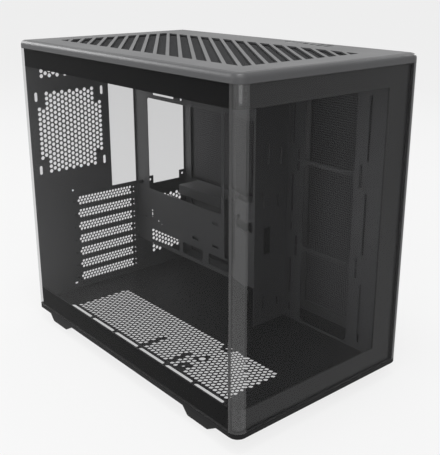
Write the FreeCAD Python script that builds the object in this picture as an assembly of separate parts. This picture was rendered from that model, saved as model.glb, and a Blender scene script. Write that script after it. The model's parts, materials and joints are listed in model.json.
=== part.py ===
import FreeCAD, Part
import math
import os

# A tower computer case with two chambers, in millimetres.
# +Z is up, the front is -Y, the glass side is -X, and the origin is on the
# ground under the middle of the case.

# Outer size
case_width = 279.0
case_length = 449.0
case_height = 413.0
front_corner = 13.5
rear_corner = 6.0
sheet = 1.0
fit = 0.3

# Base rim, floor and feet
foot_height = 18.0
pad_height = 1.5
rim_height = 7.0
rim_width = 16.0
rim_edge = 1.5
floor_rise = 8.0
spine_width = 16.0
spine_depth = 10.0
foot_inset = 8.0
foot_width = 28.0
foot_sole = 37.0
foot_rear_run = 16.0
foot_front_run = 27.0
foot_round = 5.0
pad_margin = 4.0
front_foot_inset = 97.0
rear_foot_inset = 26.0

# Floor vent: the honeycomb field, its bare strips and its fixing holes.
# Strips hold two distances from the left side and a place along the case,
# bosses one distance from the left side, a place along the case and a radius.
floor_vent_inset = 31.5
floor_vent_tray_gap = 59.0
floor_vent_front_inset = 51.5
floor_vent_rear_inset = 53.5
floor_vent_pitch = 24.0
floor_strips = [(32.5, 69.0, 0.0), (31.5, 71.0, -55.0)]
floor_strip_half = 7.0
floor_bosses = [(72.0, -77.5, 4.5), (42.7, -76.5, 2.2), (113.2, -77.5, 2.2)]
floor_boss_reach = 11.0
rail_slot_inset = 25.9
rail_slot_pitch = 58.0
rail_slot_length = 53.4
rail_slot_width = 3.6
rail_slot_count = 6
corner_hole_inset = 29.5
corner_hole_rear_inset = 24.5
corner_hole_radius = 2.2

# Glass panels and their bonded dark borders
glass_thickness = 4.0
border_thickness = 2.0
border_top = 24.7
border_bottom = 27.0
border_stile = 37.0
border_gap = 0.5
glass_seam = 0.6
glass_rear_inset = 4.0

# Top cover and its slats
cover_height = 10.3
cover_wall = 3.0
cover_plate = 2.2
cover_lip = 9.0
cover_edge = 3.0
vent_left_inset = 40.0
vent_right_inset = 61.5
vent_end_inset = 41.0
slat_pitch = 14.5
slat_width = 4.2
slat_angle = 53.5
smallest_slot = 60.0
filter_margin = 4.0
filter_thickness = 1.0

# Standard fans: outer size and hole spacing, largest first
fan_sizes = [(120.0, 105.0), (92.0, 82.5), (80.0, 71.5)]
large_fan_spacing = 124.5

# Rear panel. The board's opening and slots keep their distances to the tray.
rear_recess = 6.0
vent_pitch = 21.0
vent_wall = 3.4
slot_hole_pitch = 18.0
slot_hole_across = 10.4
fan_slot_length = 13.0
fan_slot_width = 4.5
fan_web = 3.0
rear_fan_gap = 4.0
rear_fan_rise = 96.6
io_tray_gap = 2.75
io_width = 44.45
io_rise = 152.0
io_height = 158.75
slot_count = 7
slot_pitch = 20.32
slot_opening = 12.1
slot_drop = 13.0
slot_tray_gap = 14.8
slot_length = 91.9
slot_cover_height = 18.4
slot_cover_tray_gap = 1.0
slot_cover_length = 120.0
slot_screw_gap = 7.5
slot_tongue_gap = 9.5
screw_radius = 1.6
screw_clearance = 0.15
screw_head_across = 6.4
screw_head_height = 2.6
screw_tip = 2.0
psu_hole_across = 64.0
psu_hole_up = 138.0
psu_right_inset = 10.6
psu_rise = 6.0
psu_hole_radius = 2.0
psu_side_margin = 4.0
psu_end_margin = 7.0
psu_tab = 6.0
low_vent_left_inset = 76.0
low_vent_right_inset = 11.5
low_vent_rise = 12.0
low_vent_drop = 20.0

# Tray, step wall and side fan plate
chamber_depth = 98.5
tray_rise = 57.0
strip_depth = 30.4
fan_wall_inset = 39.5
cpu_rear_inset = 37.5
cpu_drop = 6.5
cpu_rise = 135.5
cut_round = 4.0
window_rise = 6.0
window_height = 18.0
window_web = 2.0
channel_gap = 12.6
channel_width = 17.0
channel_web = 6.5
channel_rise = 138.0
tray_hem = 5.0
side_fan_low = 23.7
side_fan_step_gap = 20.5
side_fan_side_web = 36.0
side_fan_bar = 5.0
side_fan_slot_web = 1.0
large_fan_slot = 80.0
large_fan_slot_width = 3.5
fan_corner = 5.0

# Tray openings: the tie slot and hole over the large cut-out by their
# distances to its rear end and top, and the lower windows by their
# distances to the rear of the case
tie_slot = (66.5, 15.0, 5.5, 10.0)
tie_hole = (83.5, 7.5, 2.4)
tray_windows = [(113.0, 40.0), (168.5, 121.5), (229.5, 182.5)]
front_strip_margin = 3.0
front_gap_rise = 136.0
front_gap_height = 13.0
front_window_rise = 177.0

# Slots in the step wall: places across from its middle, bottom and top from
# the floor
step_slots = [(-8.5, -5.0, 228.0, 255.0), (15.0, 18.0, 225.0, 246.0),
              (-15.0, -12.0, 168.0, 188.0), (11.5, 14.5, 164.0, 183.0), (-12.5, 0.0, 102.0, 140.0),
              (-12.5, -9.5, 22.0, 40.0), (14.0, 17.0, 20.0, 33.0)]

# Motherboard standoffs
board_rear_inset = 12.8
board_hole_depth = 227.33
board_hole_height = 157.48
board_rise = 159.0
standoff_length = 6.5
standoff_across = 5.5
standoff_hole = 1.5

# Second chamber
panel_depth = 3.3
frame_post = 16.0
frame_rail = 16.0
ledge_drop = 9.0
ledge_depth = 44.5
ledge_front_inset = 144.5
ledge_rear_inset = 41.5
ledge_flange = 15.0
drive_plate_gap = 10.0
drive_plate_front_inset = 168.5
drive_plate_rear_inset = 92.5
drive_plate_drop = 4.0

# Slatted fields of the right panel, by their distances to the edges
front_field_inset = 37.5
front_field_step_gap = 11.0
front_field_rise = 21.0
front_field_drop = 19.0
rear_field_front_inset = 162.5
rear_field_rear_inset = 32.5
rear_field_rise = 9.0
rear_field_drop = 33.0

# Top frame
top_flange = 20.0
fan_bay_inset = 27.0
fan_bay_tray_gap = 13.0
fan_bay_front_inset = 48.0
fan_bay_rear_inset = 38.0
top_fan_slot = 12.0

# Corner column
column_wall = 3.0

# Snap studs
stud_radius = 2.5
stud_length = 7.0
stud_clearance = 0.5
skirt_socket = 3.0
side_stud_inset = 74.5
front_stud_inset = 59.5
panel_stud_inset = 60.0
cover_stud_inset = 15.0
cover_stud_end_inset = 25.0

# Ports and buttons on the top, by their distances to the right side and the front
port_inset = 23.0
port_gap = 0.5
port_floor = 1.0
port_recess = 0.8
usb_a_length = 13.2
usb_a_width = 5.8
usb_a_insets = [135.5, 122.0]
usb_c_length = 9.0
usb_c_width = 3.4
usb_c_inset = 148.5
port_wall = 0.6
jack_radius = 3.6
jack_bore = 1.75
jack_inset = 161.0
reset_radius = 3.2
reset_inset = 173.0
power_radius = 6.6
power_inset = 189.0
button_travel = 1.2
housing_height = 11.0
housing_width = 20.0
housing_ear = 2.5
housing_margin = 11.0
switch_depth = 3.0
switch_play = 0.1
flange_height = 1.5
flange_width = 1.2

# Places worked out from the sizes above
left = -case_width / 2
right = case_width / 2
front = -case_length / 2
rear = case_length / 2
rim_top = foot_height + rim_height
floor_top = rim_top + floor_rise
floor_bottom = floor_top - sheet
cover_bottom = case_height - cover_height
cover_ceiling = case_height - cover_plate
top_sheet = cover_bottom - sheet
chassis_inset = glass_thickness + border_thickness + border_gap
chassis_left = left + chassis_inset
chassis_front = front + chassis_inset
chassis_right = right - panel_depth
rear_inner = rear - rear_recess
rear_outer = rear_inner + sheet
panel_left = left + glass_thickness + border_gap
front_foot_y = front + front_foot_inset
rear_foot_y = rear - rear_foot_inset
glass_bottom = rim_top + fit
glass_top = cover_bottom - fit
seam_y = front + front_corner + glass_seam
column_x = right - front_corner

# Places of the board and of what lines up with it
tray_x = right - chamber_depth
tray_bottom = floor_top + tray_rise
fan_wall_x = right - fan_wall_inset
board_rear_y = rear_inner - board_rear_inset
board_front_y = board_rear_y - board_hole_depth
step_y = board_front_y - strip_depth
io_left = tray_x - io_tray_gap - io_width
io_bottom = floor_top + io_rise
board_top_z = io_bottom + board_rise
ledge_z = io_bottom - ledge_drop
first_slot_z = io_bottom - slot_drop
slot_right = tray_x - slot_tray_gap
slot_left = slot_right - slot_length
slot_cover_right = tray_x - slot_cover_tray_gap
slot_cover_left = slot_cover_right - slot_cover_length
slot_screw_x = slot_left - slot_screw_gap
slot_tongue_x = slot_right + slot_tongue_gap
psu_hole_x = right - psu_right_inset - psu_hole_across
psu_hole_z = ledge_z + psu_rise
window_bottom = tray_bottom + window_rise
window_top = window_bottom + window_height
rail_top = window_top + window_web
channel_front = board_front_y + channel_gap
channel_rear = channel_front + channel_width
channel_top = io_bottom + channel_rise
cpu_front = channel_rear + channel_web
cpu_rear = rear - cpu_rear_inset
cpu_bottom = io_bottom - cpu_drop
cpu_top = io_bottom + cpu_rise

# Places of the vents, the fan bay, the studs and the ports
vent_left = left + vent_left_inset
vent_right = right - vent_right_inset
vent_front = front + vent_end_inset
vent_rear = rear - vent_end_inset
fan_bay_left = left + fan_bay_inset
fan_bay_right = tray_x - fan_bay_tray_gap
fan_bay_front = front + fan_bay_front_inset
fan_bay_rear = rear - fan_bay_rear_inset
panel_fields = [(front + front_field_inset, step_y - front_field_step_gap,
                 rim_top + front_field_rise, cover_bottom - front_field_drop),
                (rear - rear_field_front_inset, rear - rear_field_rear_inset,
                 ledge_z + rear_field_rise, cover_bottom - rear_field_drop)]
side_stud_y = rear - side_stud_inset
front_stud_x = right - front_stud_inset
low_stud_z = rim_top + (floor_rise - sheet) / 2
high_stud_z = top_sheet - top_flange / 2
port_x = right - port_inset
port_top = case_height - port_recess
port_bottom = cover_bottom + port_floor
usb_a_y = [front + inset for inset in usb_a_insets]
usb_c_y = front + usb_c_inset
jack_y = front + jack_inset
reset_y = front + reset_inset
power_y = front + power_inset
port_row_front = usb_a_y[1] - housing_margin
port_row_rear = power_y + housing_margin

V = FreeCAD.Vector
AXES = {"x": V(1, 0, 0), "y": V(0, 1, 0), "z": V(0, 0, 1)}


def box(x0, x1, y0, y1, z0, z1):
    """A block between two corners."""
    return Part.makeBox(x1 - x0, y1 - y0, z1 - z0, V(x0, y0, z0))


def rod(axis, start, length, radius):
    """A round rod from a start point along an axis."""
    return Part.makeCylinder(radius, length, start, axis)


def place(axis, level, u, v):
    """A point of the plane that lies across an axis at a level."""
    if axis == "x":
        return V(level, u, v)
    if axis == "y":
        return V(u, level, v)
    return V(u, v, level)


def polygon(axis, level, points):
    """A closed outline through points of a plane."""
    corners = [place(axis, level, u, v) for u, v in points]
    return Part.makePolygon(corners + corners[:1])


def rectangle(axis, level, u0, u1, v0, v1):
    """A sharp rectangle in a plane."""
    return polygon(axis, level, [(u0, v0), (u1, v0), (u1, v1), (u0, v1)])


def rounded(axis, level, u0, u1, v0, v1, radii):
    """A rectangle in a plane with four corner radii, from (u0, v0) round."""
    corners = [(u0, v0, 180), (u1, v0, 270), (u1, v1, 0), (u0, v1, 90)]
    inward = [(1, 1), (-1, 1), (-1, -1), (1, -1)]
    arcs = []
    for (u, v, turn), (du, dv), r in zip(corners, inward, radii):
        points = []
        for angle in (turn, turn + 45, turn + 90):
            a = math.radians(angle)
            points.append(place(axis, level, u + r * (du + math.cos(a)), v + r * (dv + math.sin(a))))
        arcs.append(Part.Arc(*points).toShape())
    edges = []
    for here, following in zip(arcs, arcs[1:] + arcs[:1]):
        edges.append(here)
        start = here.Vertexes[-1].Point
        end = following.Vertexes[0].Point
        if start.distanceToPoint(end) > 1e-6:
            edges.append(Part.LineSegment(start, end).toShape())
    return Part.Wire(edges)


def cut_corners(axis, level, u0, u1, v0, v1, cut):
    """A rectangle in a plane with its corners cut off."""
    return polygon(axis, level, [(u0 + cut, v0), (u1 - cut, v0), (u1, v0 + cut), (u1, v1 - cut),
                                 (u1 - cut, v1), (u0 + cut, v1), (u0, v1 - cut), (u0, v0 + cut)])


def evenly_rounded(axis, level, u0, u1, v0, v1, radius):
    """A rectangle in a plane with one radius at every corner."""
    return rounded(axis, level, u0, u1, v0, v1, [radius] * 4)


def slot(axis, level, u, v, length, width):
    """A round-ended slot along v, about its middle."""
    run = (length - width) / 2
    end = width / 2
    low = place(axis, level, u, v - run - end)
    high = place(axis, level, u, v + run + end)
    signs = ((1, -1), (1, 1), (-1, 1), (-1, -1))
    corners = [place(axis, level, u + su * end, v + sv * run) for su, sv in signs]
    return Part.Wire([
        Part.Arc(corners[3], low, corners[0]).toShape(),
        Part.LineSegment(corners[0], corners[1]).toShape(),
        Part.Arc(corners[1], high, corners[2]).toShape(),
        Part.LineSegment(corners[2], corners[3]).toShape(),
    ])


def square_slot(axis, level, u, v, length, width):
    """A square-ended slot along v, about its middle."""
    return rectangle(axis, level, u - width / 2, u + width / 2, v - length / 2, v + length / 2)


def circle(axis, level, u, v, radius):
    """A round hole's outline in a plane."""
    return Part.Wire(Part.Circle(place(axis, level, u, v), AXES[axis], radius).toShape())


def eight_sided(axis, level, u, v, radius):
    """A small hole or peg as an eight-sided outline round a circle."""
    corner = radius / math.cos(math.radians(22.5))
    return polygon(axis, level, [(u + corner * math.cos(math.radians(22.5 + 45 * k)),
                                  v + corner * math.sin(math.radians(22.5 + 45 * k))) for k in range(8)])


def plate(axis, level, thickness, outline, holes):
    """A flat sheet from an outline and its holes, thickened along the axis."""
    face = Part.makeFace([outline] + holes, "Part::FaceMakerBullseye")
    return face.extrude(AXES[axis] * thickness)


def peg(axis, level, u, v, length, radius):
    """A small eight-sided peg that starts at a level."""
    return plate(axis, level, length, eight_sided(axis, level, u, v, radius), [])


def hexagon(axis, level, u, v, across):
    """A hexagon in a plane, by its width across the flats."""
    corner = across / math.sqrt(3)
    return polygon(axis, level, [(u + corner * math.cos(math.radians(60 * k)),
                                  v + corner * math.sin(math.radians(60 * k))) for k in range(6)])


def honeycomb(axis, level, u0, u1, v0, v1, pitch, allowed):
    """Hexagonal holes on a staggered grid that fills a rectangle."""
    column_step = pitch * math.sqrt(3) / 2
    columns = int((u1 - u0 - pitch) / column_step + 1e-6) + 1
    first_u = (u0 + u1) / 2 - (columns - 1) * column_step / 2
    holes = []
    for column in range(columns):
        u = first_u + column * column_step
        rows = int((v1 - v0) / pitch + 1e-6) - column % 2
        first_v = (v0 + v1) / 2 - (rows - 1) * pitch / 2
        for row in range(rows):
            v = first_v + row * pitch
            if allowed(u, v):
                holes.append(hexagon(axis, level, u, v, pitch - vent_wall))
    return holes


def clip(points, normal, limit):
    """The part of a flat outline on the near side of a line."""
    kept = []
    for (au, av), (bu, bv) in zip(points, points[1:] + points[:1]):
        a = au * normal[0] + av * normal[1] - limit
        b = bu * normal[0] + bv * normal[1] - limit
        if a <= 0:
            kept.append((au, av))
        if a * b < 0:
            share = a / (a - b)
            kept.append((au + share * (bu - au), av + share * (bv - av)))
    return kept


def flat_area(points):
    """The area inside a flat outline."""
    total = 0.0
    for (au, av), (bu, bv) in zip(points, points[1:] + points[:1]):
        total += au * bv - av * bu
    return abs(total) / 2


def slanted_slots(axis, level, u0, u1, v0, v1):
    """Slots between the diagonal slats that cross a rectangle."""
    across = (math.sin(math.radians(slat_angle)), -math.cos(math.radians(slat_angle)))
    field = [(u0, v0), (u1, v0), (u1, v1), (u0, v1)]
    reach = [u * across[0] + v * across[1] for u, v in field]
    count = int((max(reach) - min(reach)) / slat_pitch)
    middle = (max(reach) + min(reach)) / 2
    opening = slat_pitch - slat_width
    holes = []
    for k in range(-count // 2, count // 2 + 1):
        centre = middle + k * slat_pitch
        strip = clip(field, across, centre + opening / 2)
        strip = clip(strip, (-across[0], -across[1]), opening / 2 - centre)
        if len(strip) > 2 and flat_area(strip) > smallest_slot:
            holes.append(polygon(axis, level, strip))
    return holes


def case_plan(inset, z):
    """The case's outline from above, moved inwards by an inset."""
    return rounded("z", z, left + inset, right - inset, front + inset, rear - inset,
                   [front_corner - inset, front_corner - inset,
                    max(rear_corner - inset, sheet), max(rear_corner - inset, sheet)])


def inner_plan(inset, z):
    """The outline of the room inside the cover, with its corners cut off."""
    return cut_corners("z", z, left + inset, right - inset, front + inset, rear - inset, front_corner)


def chassis_plan(z, inset=0.0):
    """The outline of the steel chassis inside the panels, from above."""
    return rounded("z", z, chassis_left + inset, chassis_right - inset, chassis_front + inset, rear_outer,
                   [front_corner - chassis_inset - inset, front_corner - column_wall - sheet - inset,
                    sheet, sheet])


def slab(outline, height):
    """A flat outline raised to a height."""
    return Part.Face(outline).extrude(V(0, 0, height))


def edges_at(shape, z):
    """The edges of a shape that lie flat at a height."""
    flat = []
    for edge in shape.Edges:
        middle = (edge.FirstParameter + edge.LastParameter) / 2
        ends = (edge.valueAt(edge.FirstParameter), edge.valueAt(middle), edge.valueAt(edge.LastParameter))
        if all(abs(point.z - z) < 1e-6 for point in ends):
            flat.append(edge)
    return flat


def without_seams(shape):
    """The shape with the lines between level faces removed."""
    return shape.removeSplitter()


def stud_socket(axis, level, u, v, depth):
    """The hole that a snap stud enters."""
    return peg(axis, level, u, v, depth, stud_radius + stud_clearance)


def panel_stud_points():
    """Where the right panel's studs meet the side frame."""
    middle = (floor_top + top_sheet) / 2
    reach = (top_sheet - floor_top) / 2 - panel_stud_inset
    ends = (front + front_corner + frame_post / 2 + sheet, rear_inner - frame_post / 2)
    return [(y, middle + side * reach) for y in ends for side in (-1, 1)]


def largest_fan(room, reach):
    """The largest standard fan whose reach fits a room, as its size and hole spacing."""
    return [fan for fan in fan_sizes if reach(*fan) <= room][0]


def rear_fan_reach(size, spacing):
    """The width from the fan's right edge to the outside of its left screw slots."""
    return (size + spacing + fan_slot_width) / 2 + fan_web


def side_fan_reach(size, spacing):
    """The depth from the step wall to the outside of a side fan's front screw slots."""
    return side_fan_step_gap + spacing + fan_slot_width / 2 + fan_web


rear_fan_size, rear_fan_spacing = largest_fan(io_left - rear_fan_gap - panel_left, rear_fan_reach)
rear_fan_x = io_left - rear_fan_gap - rear_fan_size / 2
rear_fan_z = io_bottom + rear_fan_rise
rear_vent_radius = rear_fan_size / 2 - fan_web
fan_plate_front = chassis_front + sheet
side_fan_size, side_fan_spacing = largest_fan(step_y - fan_plate_front, side_fan_reach)
side_fan_y = step_y - side_fan_step_gap - side_fan_spacing / 2


def make_base_frame():
    """The rounded rim with the raised deck that carries the floor."""
    rim = slab(case_plan(0.0, foot_height), rim_height)
    rim = rim.makeChamfer(rim_edge, edges_at(rim, foot_height))
    deck = slab(chassis_plan(rim_top), floor_bottom - rim_top)
    window = box(left + rim_width, right - rim_width, front + rim_width, rear - rim_width,
                 foot_height - sheet, floor_top)
    spine = box(tray_x - spine_width / 2, tray_x + spine_width / 2, front + rim_width, rear - rim_width,
                floor_bottom - spine_depth, floor_bottom)
    frame = rim.fuse(deck).cut(window).fuse(spine)
    for side in (-1, 1):
        frame = frame.cut(stud_socket("x", chassis_left, side * side_stud_y, low_stud_z, stud_length))
        frame = frame.cut(stud_socket("y", chassis_front, side * front_stud_x, low_stud_z, stud_length))
    return without_seams(frame)


def make_foot(sole_rear, side):
    """A foot with one steep and one gentle sloping end."""
    outer = left + foot_inset
    profile = [(sole_rear + foot_rear_run, foot_height), (sole_rear, pad_height),
               (sole_rear - foot_sole, pad_height), (sole_rear - foot_sole - foot_front_run, foot_height)]
    x = outer if side < 0 else -outer - foot_width
    foot = plate("x", x, foot_width, polygon("x", x, profile), [])
    low = [e for e in edges_at(foot, pad_height) if abs(e.tangentAt(e.FirstParameter).x) > 0.9]
    return foot.makeFillet(foot_round, low)


def make_foot_pads():
    """A rubber pad under each foot."""
    pads = []
    for sole_rear in (front_foot_y, rear_foot_y):
        for side in (-1, 1):
            x = left + foot_inset if side < 0 else right - foot_inset - foot_width
            pads.append(box(x + pad_margin, x + foot_width - pad_margin,
                            sole_rear - foot_sole + pad_margin, sole_rear - pad_margin, 0.0, pad_height))
    return Part.makeCompound(pads)


def floor_hole_allowed(x, y):
    """False where the floor stays bare round its strips and fixing holes."""
    for inset, end, strip_y in floor_strips:
        if left + inset < x < left + end and abs(y - strip_y) < floor_strip_half:
            return False
    return all(math.hypot(x - left - inset, y - boss_y) > floor_boss_reach
               for inset, boss_y, _ in floor_bosses)


def make_floor_panel():
    """The floor sheet with its vent, fan rail slots and fixing holes."""
    holes = honeycomb("z", floor_bottom, left + floor_vent_inset, tray_x - floor_vent_tray_gap,
                      front + floor_vent_front_inset, rear - floor_vent_rear_inset,
                      floor_vent_pitch, floor_hole_allowed)
    corner_hole = (corner_hole_inset, rear - corner_hole_rear_inset, corner_hole_radius)
    for inset, y, radius in floor_bosses + [corner_hole]:
        holes.append(eight_sided("z", floor_bottom, left + inset, y, radius))
    for k in range(rail_slot_count):
        y = (k - (rail_slot_count - 1) / 2) * rail_slot_pitch
        holes.append(square_slot("z", floor_bottom, left + rail_slot_inset, y,
                                 rail_slot_length, rail_slot_width))
    return plate("z", floor_bottom, sheet, chassis_plan(floor_bottom), holes)


def slot_z(k):
    """The height of an expansion slot's middle."""
    return first_slot_z - k * slot_pitch


def in_rear_fan(x, z):
    """True inside the round of the rear fan."""
    return math.hypot(x - rear_fan_x, z - rear_fan_z) < rear_vent_radius - vent_pitch / 4


def everywhere(u, v):
    """True for every hole of a plain rectangular vent."""
    return True


def psu_opening(level):
    """The power supply's opening, stepped in at the corners for its screws."""
    x0 = psu_hole_x - psu_side_margin
    x1 = psu_hole_x + psu_hole_across + psu_side_margin
    z0 = psu_hole_z - psu_end_margin
    z1 = psu_hole_z + psu_hole_up + psu_end_margin
    a = psu_hole_x + psu_tab
    b = psu_hole_x + psu_hole_across - psu_tab
    c = psu_hole_z + psu_tab
    d = psu_hole_z + psu_hole_up - psu_tab
    return polygon("y", level, [(a, z0), (b, z0), (b, c), (x1, c), (x1, d), (b, d), (b, z1), (a, z1),
                                (a, d), (x0, d), (x0, c), (a, c)])


def make_rear_panel():
    """The rear sheet with the vents and openings that the parts inside need."""
    y = rear_inner
    holes = honeycomb("y", y, rear_fan_x - rear_vent_radius, rear_fan_x + rear_vent_radius,
                      rear_fan_z - rear_vent_radius, rear_fan_z + rear_vent_radius, vent_pitch, in_rear_fan)
    half = rear_fan_spacing / 2
    for x in (rear_fan_x - half, rear_fan_x + half):
        for z in (rear_fan_z - half, rear_fan_z + half):
            holes.append(slot("y", y, x, z, fan_slot_length, fan_slot_width))
    holes.append(rectangle("y", y, io_left, io_left + io_width, io_bottom, io_bottom + io_height))
    for k in range(slot_count):
        z = slot_z(k)
        holes.append(rectangle("y", y, slot_left, slot_right, z - slot_opening / 2, z + slot_opening / 2))
        holes.append(eight_sided("y", y, slot_screw_x, z, screw_radius + screw_clearance))
        holes.append(square_slot("y", y, slot_tongue_x, z, slot_opening / 2, slot_opening / 4))
    holes.append(psu_opening(y))
    for x in (psu_hole_x, psu_hole_x + psu_hole_across):
        for z in (psu_hole_z, psu_hole_z + psu_hole_up):
            holes.append(circle("y", y, x, z, psu_hole_radius))
    holes += honeycomb("y", y, right - low_vent_left_inset, right - low_vent_right_inset,
                       floor_top + low_vent_rise, ledge_z - low_vent_drop, vent_pitch, everywhere)
    outline = rectangle("y", y, panel_left, chassis_right, floor_top, top_sheet)
    return plate("y", y, sheet, outline, holes)


def make_slot_cover(k):
    """One perforated slot cover on the outside of the rear panel."""
    y = rear_outer
    z = slot_z(k)
    half = slot_cover_height / 2
    tip = half / 2
    count = int((slot_right - slot_left) / slot_hole_pitch)
    first = (slot_left + slot_right) / 2 - (count - 1) / 2 * slot_hole_pitch
    holes = [hexagon("y", y, first + hole * slot_hole_pitch, z, slot_hole_across) for hole in range(count)]
    holes.append(eight_sided("y", y, slot_screw_x, z, screw_radius + screw_clearance))
    holes.append(square_slot("y", y, slot_tongue_x, z, slot_opening / 2, slot_opening / 4))
    outline = polygon("y", y, [(slot_cover_left, z - half), (slot_cover_right - tip, z - half),
                               (slot_cover_right, z - tip), (slot_cover_right, z + tip),
                               (slot_cover_right - tip, z + half), (slot_cover_left, z + half)])
    return plate("y", y, sheet, outline, holes)


def make_slot_screws():
    """The screws that hold the slot covers."""
    screws = []
    seat = rear_outer + sheet
    tip = rear_inner - screw_tip
    for k in range(slot_count):
        z = slot_z(k)
        shank = peg("y", tip, slot_screw_x, z, seat + sheet - tip, screw_radius)
        head = plate("y", seat, screw_head_height,
                     hexagon("y", seat, slot_screw_x, z, screw_head_across), [])
        screws.append(shank.fuse(head))
    return Part.makeCompound(screws)


def make_motherboard_tray():
    """The upright sheet between the chambers, with the large cut-out behind the cooler."""
    x = tray_x
    slot_front, slot_rear, slot_low, slot_high = tie_slot
    hole_inset, hole_rise, hole_radius = tie_hole
    holes = [cut_corners("x", x, cpu_front, cpu_rear, cpu_bottom, cpu_top, cut_round),
             rectangle("x", x, cpu_rear - slot_front, cpu_rear - slot_rear,
                       cpu_top + slot_low, cpu_top + slot_high),
             eight_sided("x", x, cpu_rear - hole_inset, cpu_top + hole_rise, hole_radius)]
    outline = polygon("x", x, [(step_y, channel_top), (channel_rear, channel_top), (channel_rear, rail_top),
                               (rear_inner, rail_top), (rear_inner, top_sheet), (step_y, top_sheet)])
    return plate("x", x, sheet, outline, holes)


def make_tray_front_strip():
    """The narrow part of the tray beside the step wall, with its cable openings."""
    x = tray_x
    y0, y1 = step_y + front_strip_margin, channel_front - front_strip_margin
    gap_low = floor_top + front_gap_rise
    holes = [rectangle("x", x, y0, y1, gap_low, gap_low + front_gap_height),
             rectangle("x", x, y0, y1, floor_top + front_window_rise, channel_top - front_strip_margin)]
    return plate("x", x, sheet, rectangle("x", x, step_y, channel_front, rail_top, channel_top), holes)


def make_tray_lower_rail():
    """The low edge of the tray, with cable windows and a folded hem."""
    x = tray_x
    holes = [rectangle("x", x, rear - start, rear - end, window_bottom, window_top)
             for start, end in tray_windows]
    rail = plate("x", x, sheet, rectangle("x", x, step_y, rear_inner, tray_bottom, rail_top), holes)
    hem = box(x, x + tray_hem, step_y, rear_inner, tray_bottom, tray_bottom + sheet)
    return without_seams(rail.fuse(hem))


def make_standoffs():
    """The hexagonal posts that the motherboard is screwed to."""
    posts = []
    start = tray_x - standoff_length
    for y in (board_rear_y, board_front_y):
        for z in (board_top_z, board_top_z - board_hole_height):
            outline = hexagon("x", start, y, z, standoff_across)
            bore = circle("x", start, y, z, standoff_hole)
            posts.append(plate("x", start, standoff_length, outline, [bore]))
    return Part.makeCompound(posts)


def make_step_wall():
    """The wall that steps from the tray back to the side fan plate."""
    y = step_y - sheet
    middle = (tray_x + fan_wall_x) / 2
    holes = [rectangle("y", y, middle + x0, middle + x1, floor_top + z0, floor_top + z1)
             for x0, x1, z0, z1 in step_slots]
    outline = rectangle("y", y, tray_x, fan_wall_x, floor_top, top_sheet)
    return plate("y", y, sheet, outline, holes)


def make_side_fan_plate():
    """The plate in the front bay that carries a stack of fans on its far side."""
    x = fan_wall_x
    half_width = (side_fan_size - side_fan_side_web) / 2
    half_height = (side_fan_size - side_fan_bar) / 2
    half = side_fan_spacing / 2
    screw_slot = side_fan_size - side_fan_spacing - side_fan_slot_web
    floor_limit = floor_top + fan_web
    holes = []
    for k in range(int((top_sheet - side_fan_low) / side_fan_size)):
        z = side_fan_low + (k + 0.5) * side_fan_size
        holes.append(cut_corners("x", x, side_fan_y - half_width, side_fan_y + half_width,
                                 max(z - half_height, floor_limit), z + half_height, fan_corner))
        for height in (z - half, z + half):
            if height - screw_slot / 2 > floor_limit:
                holes.append(square_slot("x", x, side_fan_y - half, height, screw_slot, fan_slot_width))
                holes.append(square_slot("x", x, side_fan_y + half, height, screw_slot, fan_slot_width))
        if side_fan_y - large_fan_spacing / 2 - large_fan_slot_width > fan_plate_front:
            for side in (-1, 1):
                holes.append(square_slot("x", x, side_fan_y + side * large_fan_spacing / 2, z,
                                         large_fan_slot, large_fan_slot_width))
    return plate("x", x, sheet, rectangle("x", x, fan_plate_front, step_y, floor_top, top_sheet), holes)


def make_corner_column():
    """The rounded column at the front right, with its inner leg."""
    z0 = rim_top
    arc_centre = V(column_x, front + front_corner, z0)
    outer = Part.makeCylinder(front_corner, glass_top - z0, arc_centre, AXES["z"], 90)
    inner = Part.makeCylinder(front_corner - column_wall, glass_top - z0, arc_centre, AXES["z"], 90)
    shell = outer.cut(inner)
    shell.rotate(arc_centre, AXES["z"], -90)
    x1 = column_x + column_wall
    y1 = chassis_front + sheet
    web = box(column_x, x1, front + column_wall - sheet, y1, floor_top, top_sheet)
    leg = box(fan_wall_x, x1, chassis_front, y1, floor_top, top_sheet)
    return without_seams(shell.fuse([web, leg]))


def make_side_frame():
    """The steel frame round the opening behind the right panel."""
    x = chassis_right - sheet
    y0 = front + front_corner + sheet
    low = floor_top + frame_rail
    high = top_sheet - frame_rail
    post_y = step_y - frame_post / 2
    rear_post = rear_inner - frame_post
    holes = [rectangle("x", x, y0 + frame_post, post_y, low, high),
             rectangle("x", x, post_y + frame_post, rear_post, low, ledge_z - sheet - frame_rail),
             rectangle("x", x, post_y + frame_post, rear_post, ledge_z, high)]
    for y, z in panel_stud_points():
        holes.append(eight_sided("x", x, y, z, stud_radius + stud_clearance))
    outline = rectangle("x", x, y0, rear_inner, floor_top, top_sheet)
    return plate("x", x, sheet, outline, holes)


def make_psu_ledge():
    """The folded ledge that the power supply stands on."""
    x0, x1 = right - ledge_depth, chassis_right - sheet
    y0, y1 = rear - ledge_front_inset, rear - ledge_rear_inset
    shelf = box(x0, x1, y0, y1, ledge_z - sheet, ledge_z)
    lip = box(x0, x0 + sheet, y0, y1, ledge_z - ledge_flange, ledge_z)
    hem = box(x1 - sheet, x1, y0, y1, ledge_z - frame_rail, ledge_z)
    return without_seams(shelf.fuse([lip, hem]))


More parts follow.
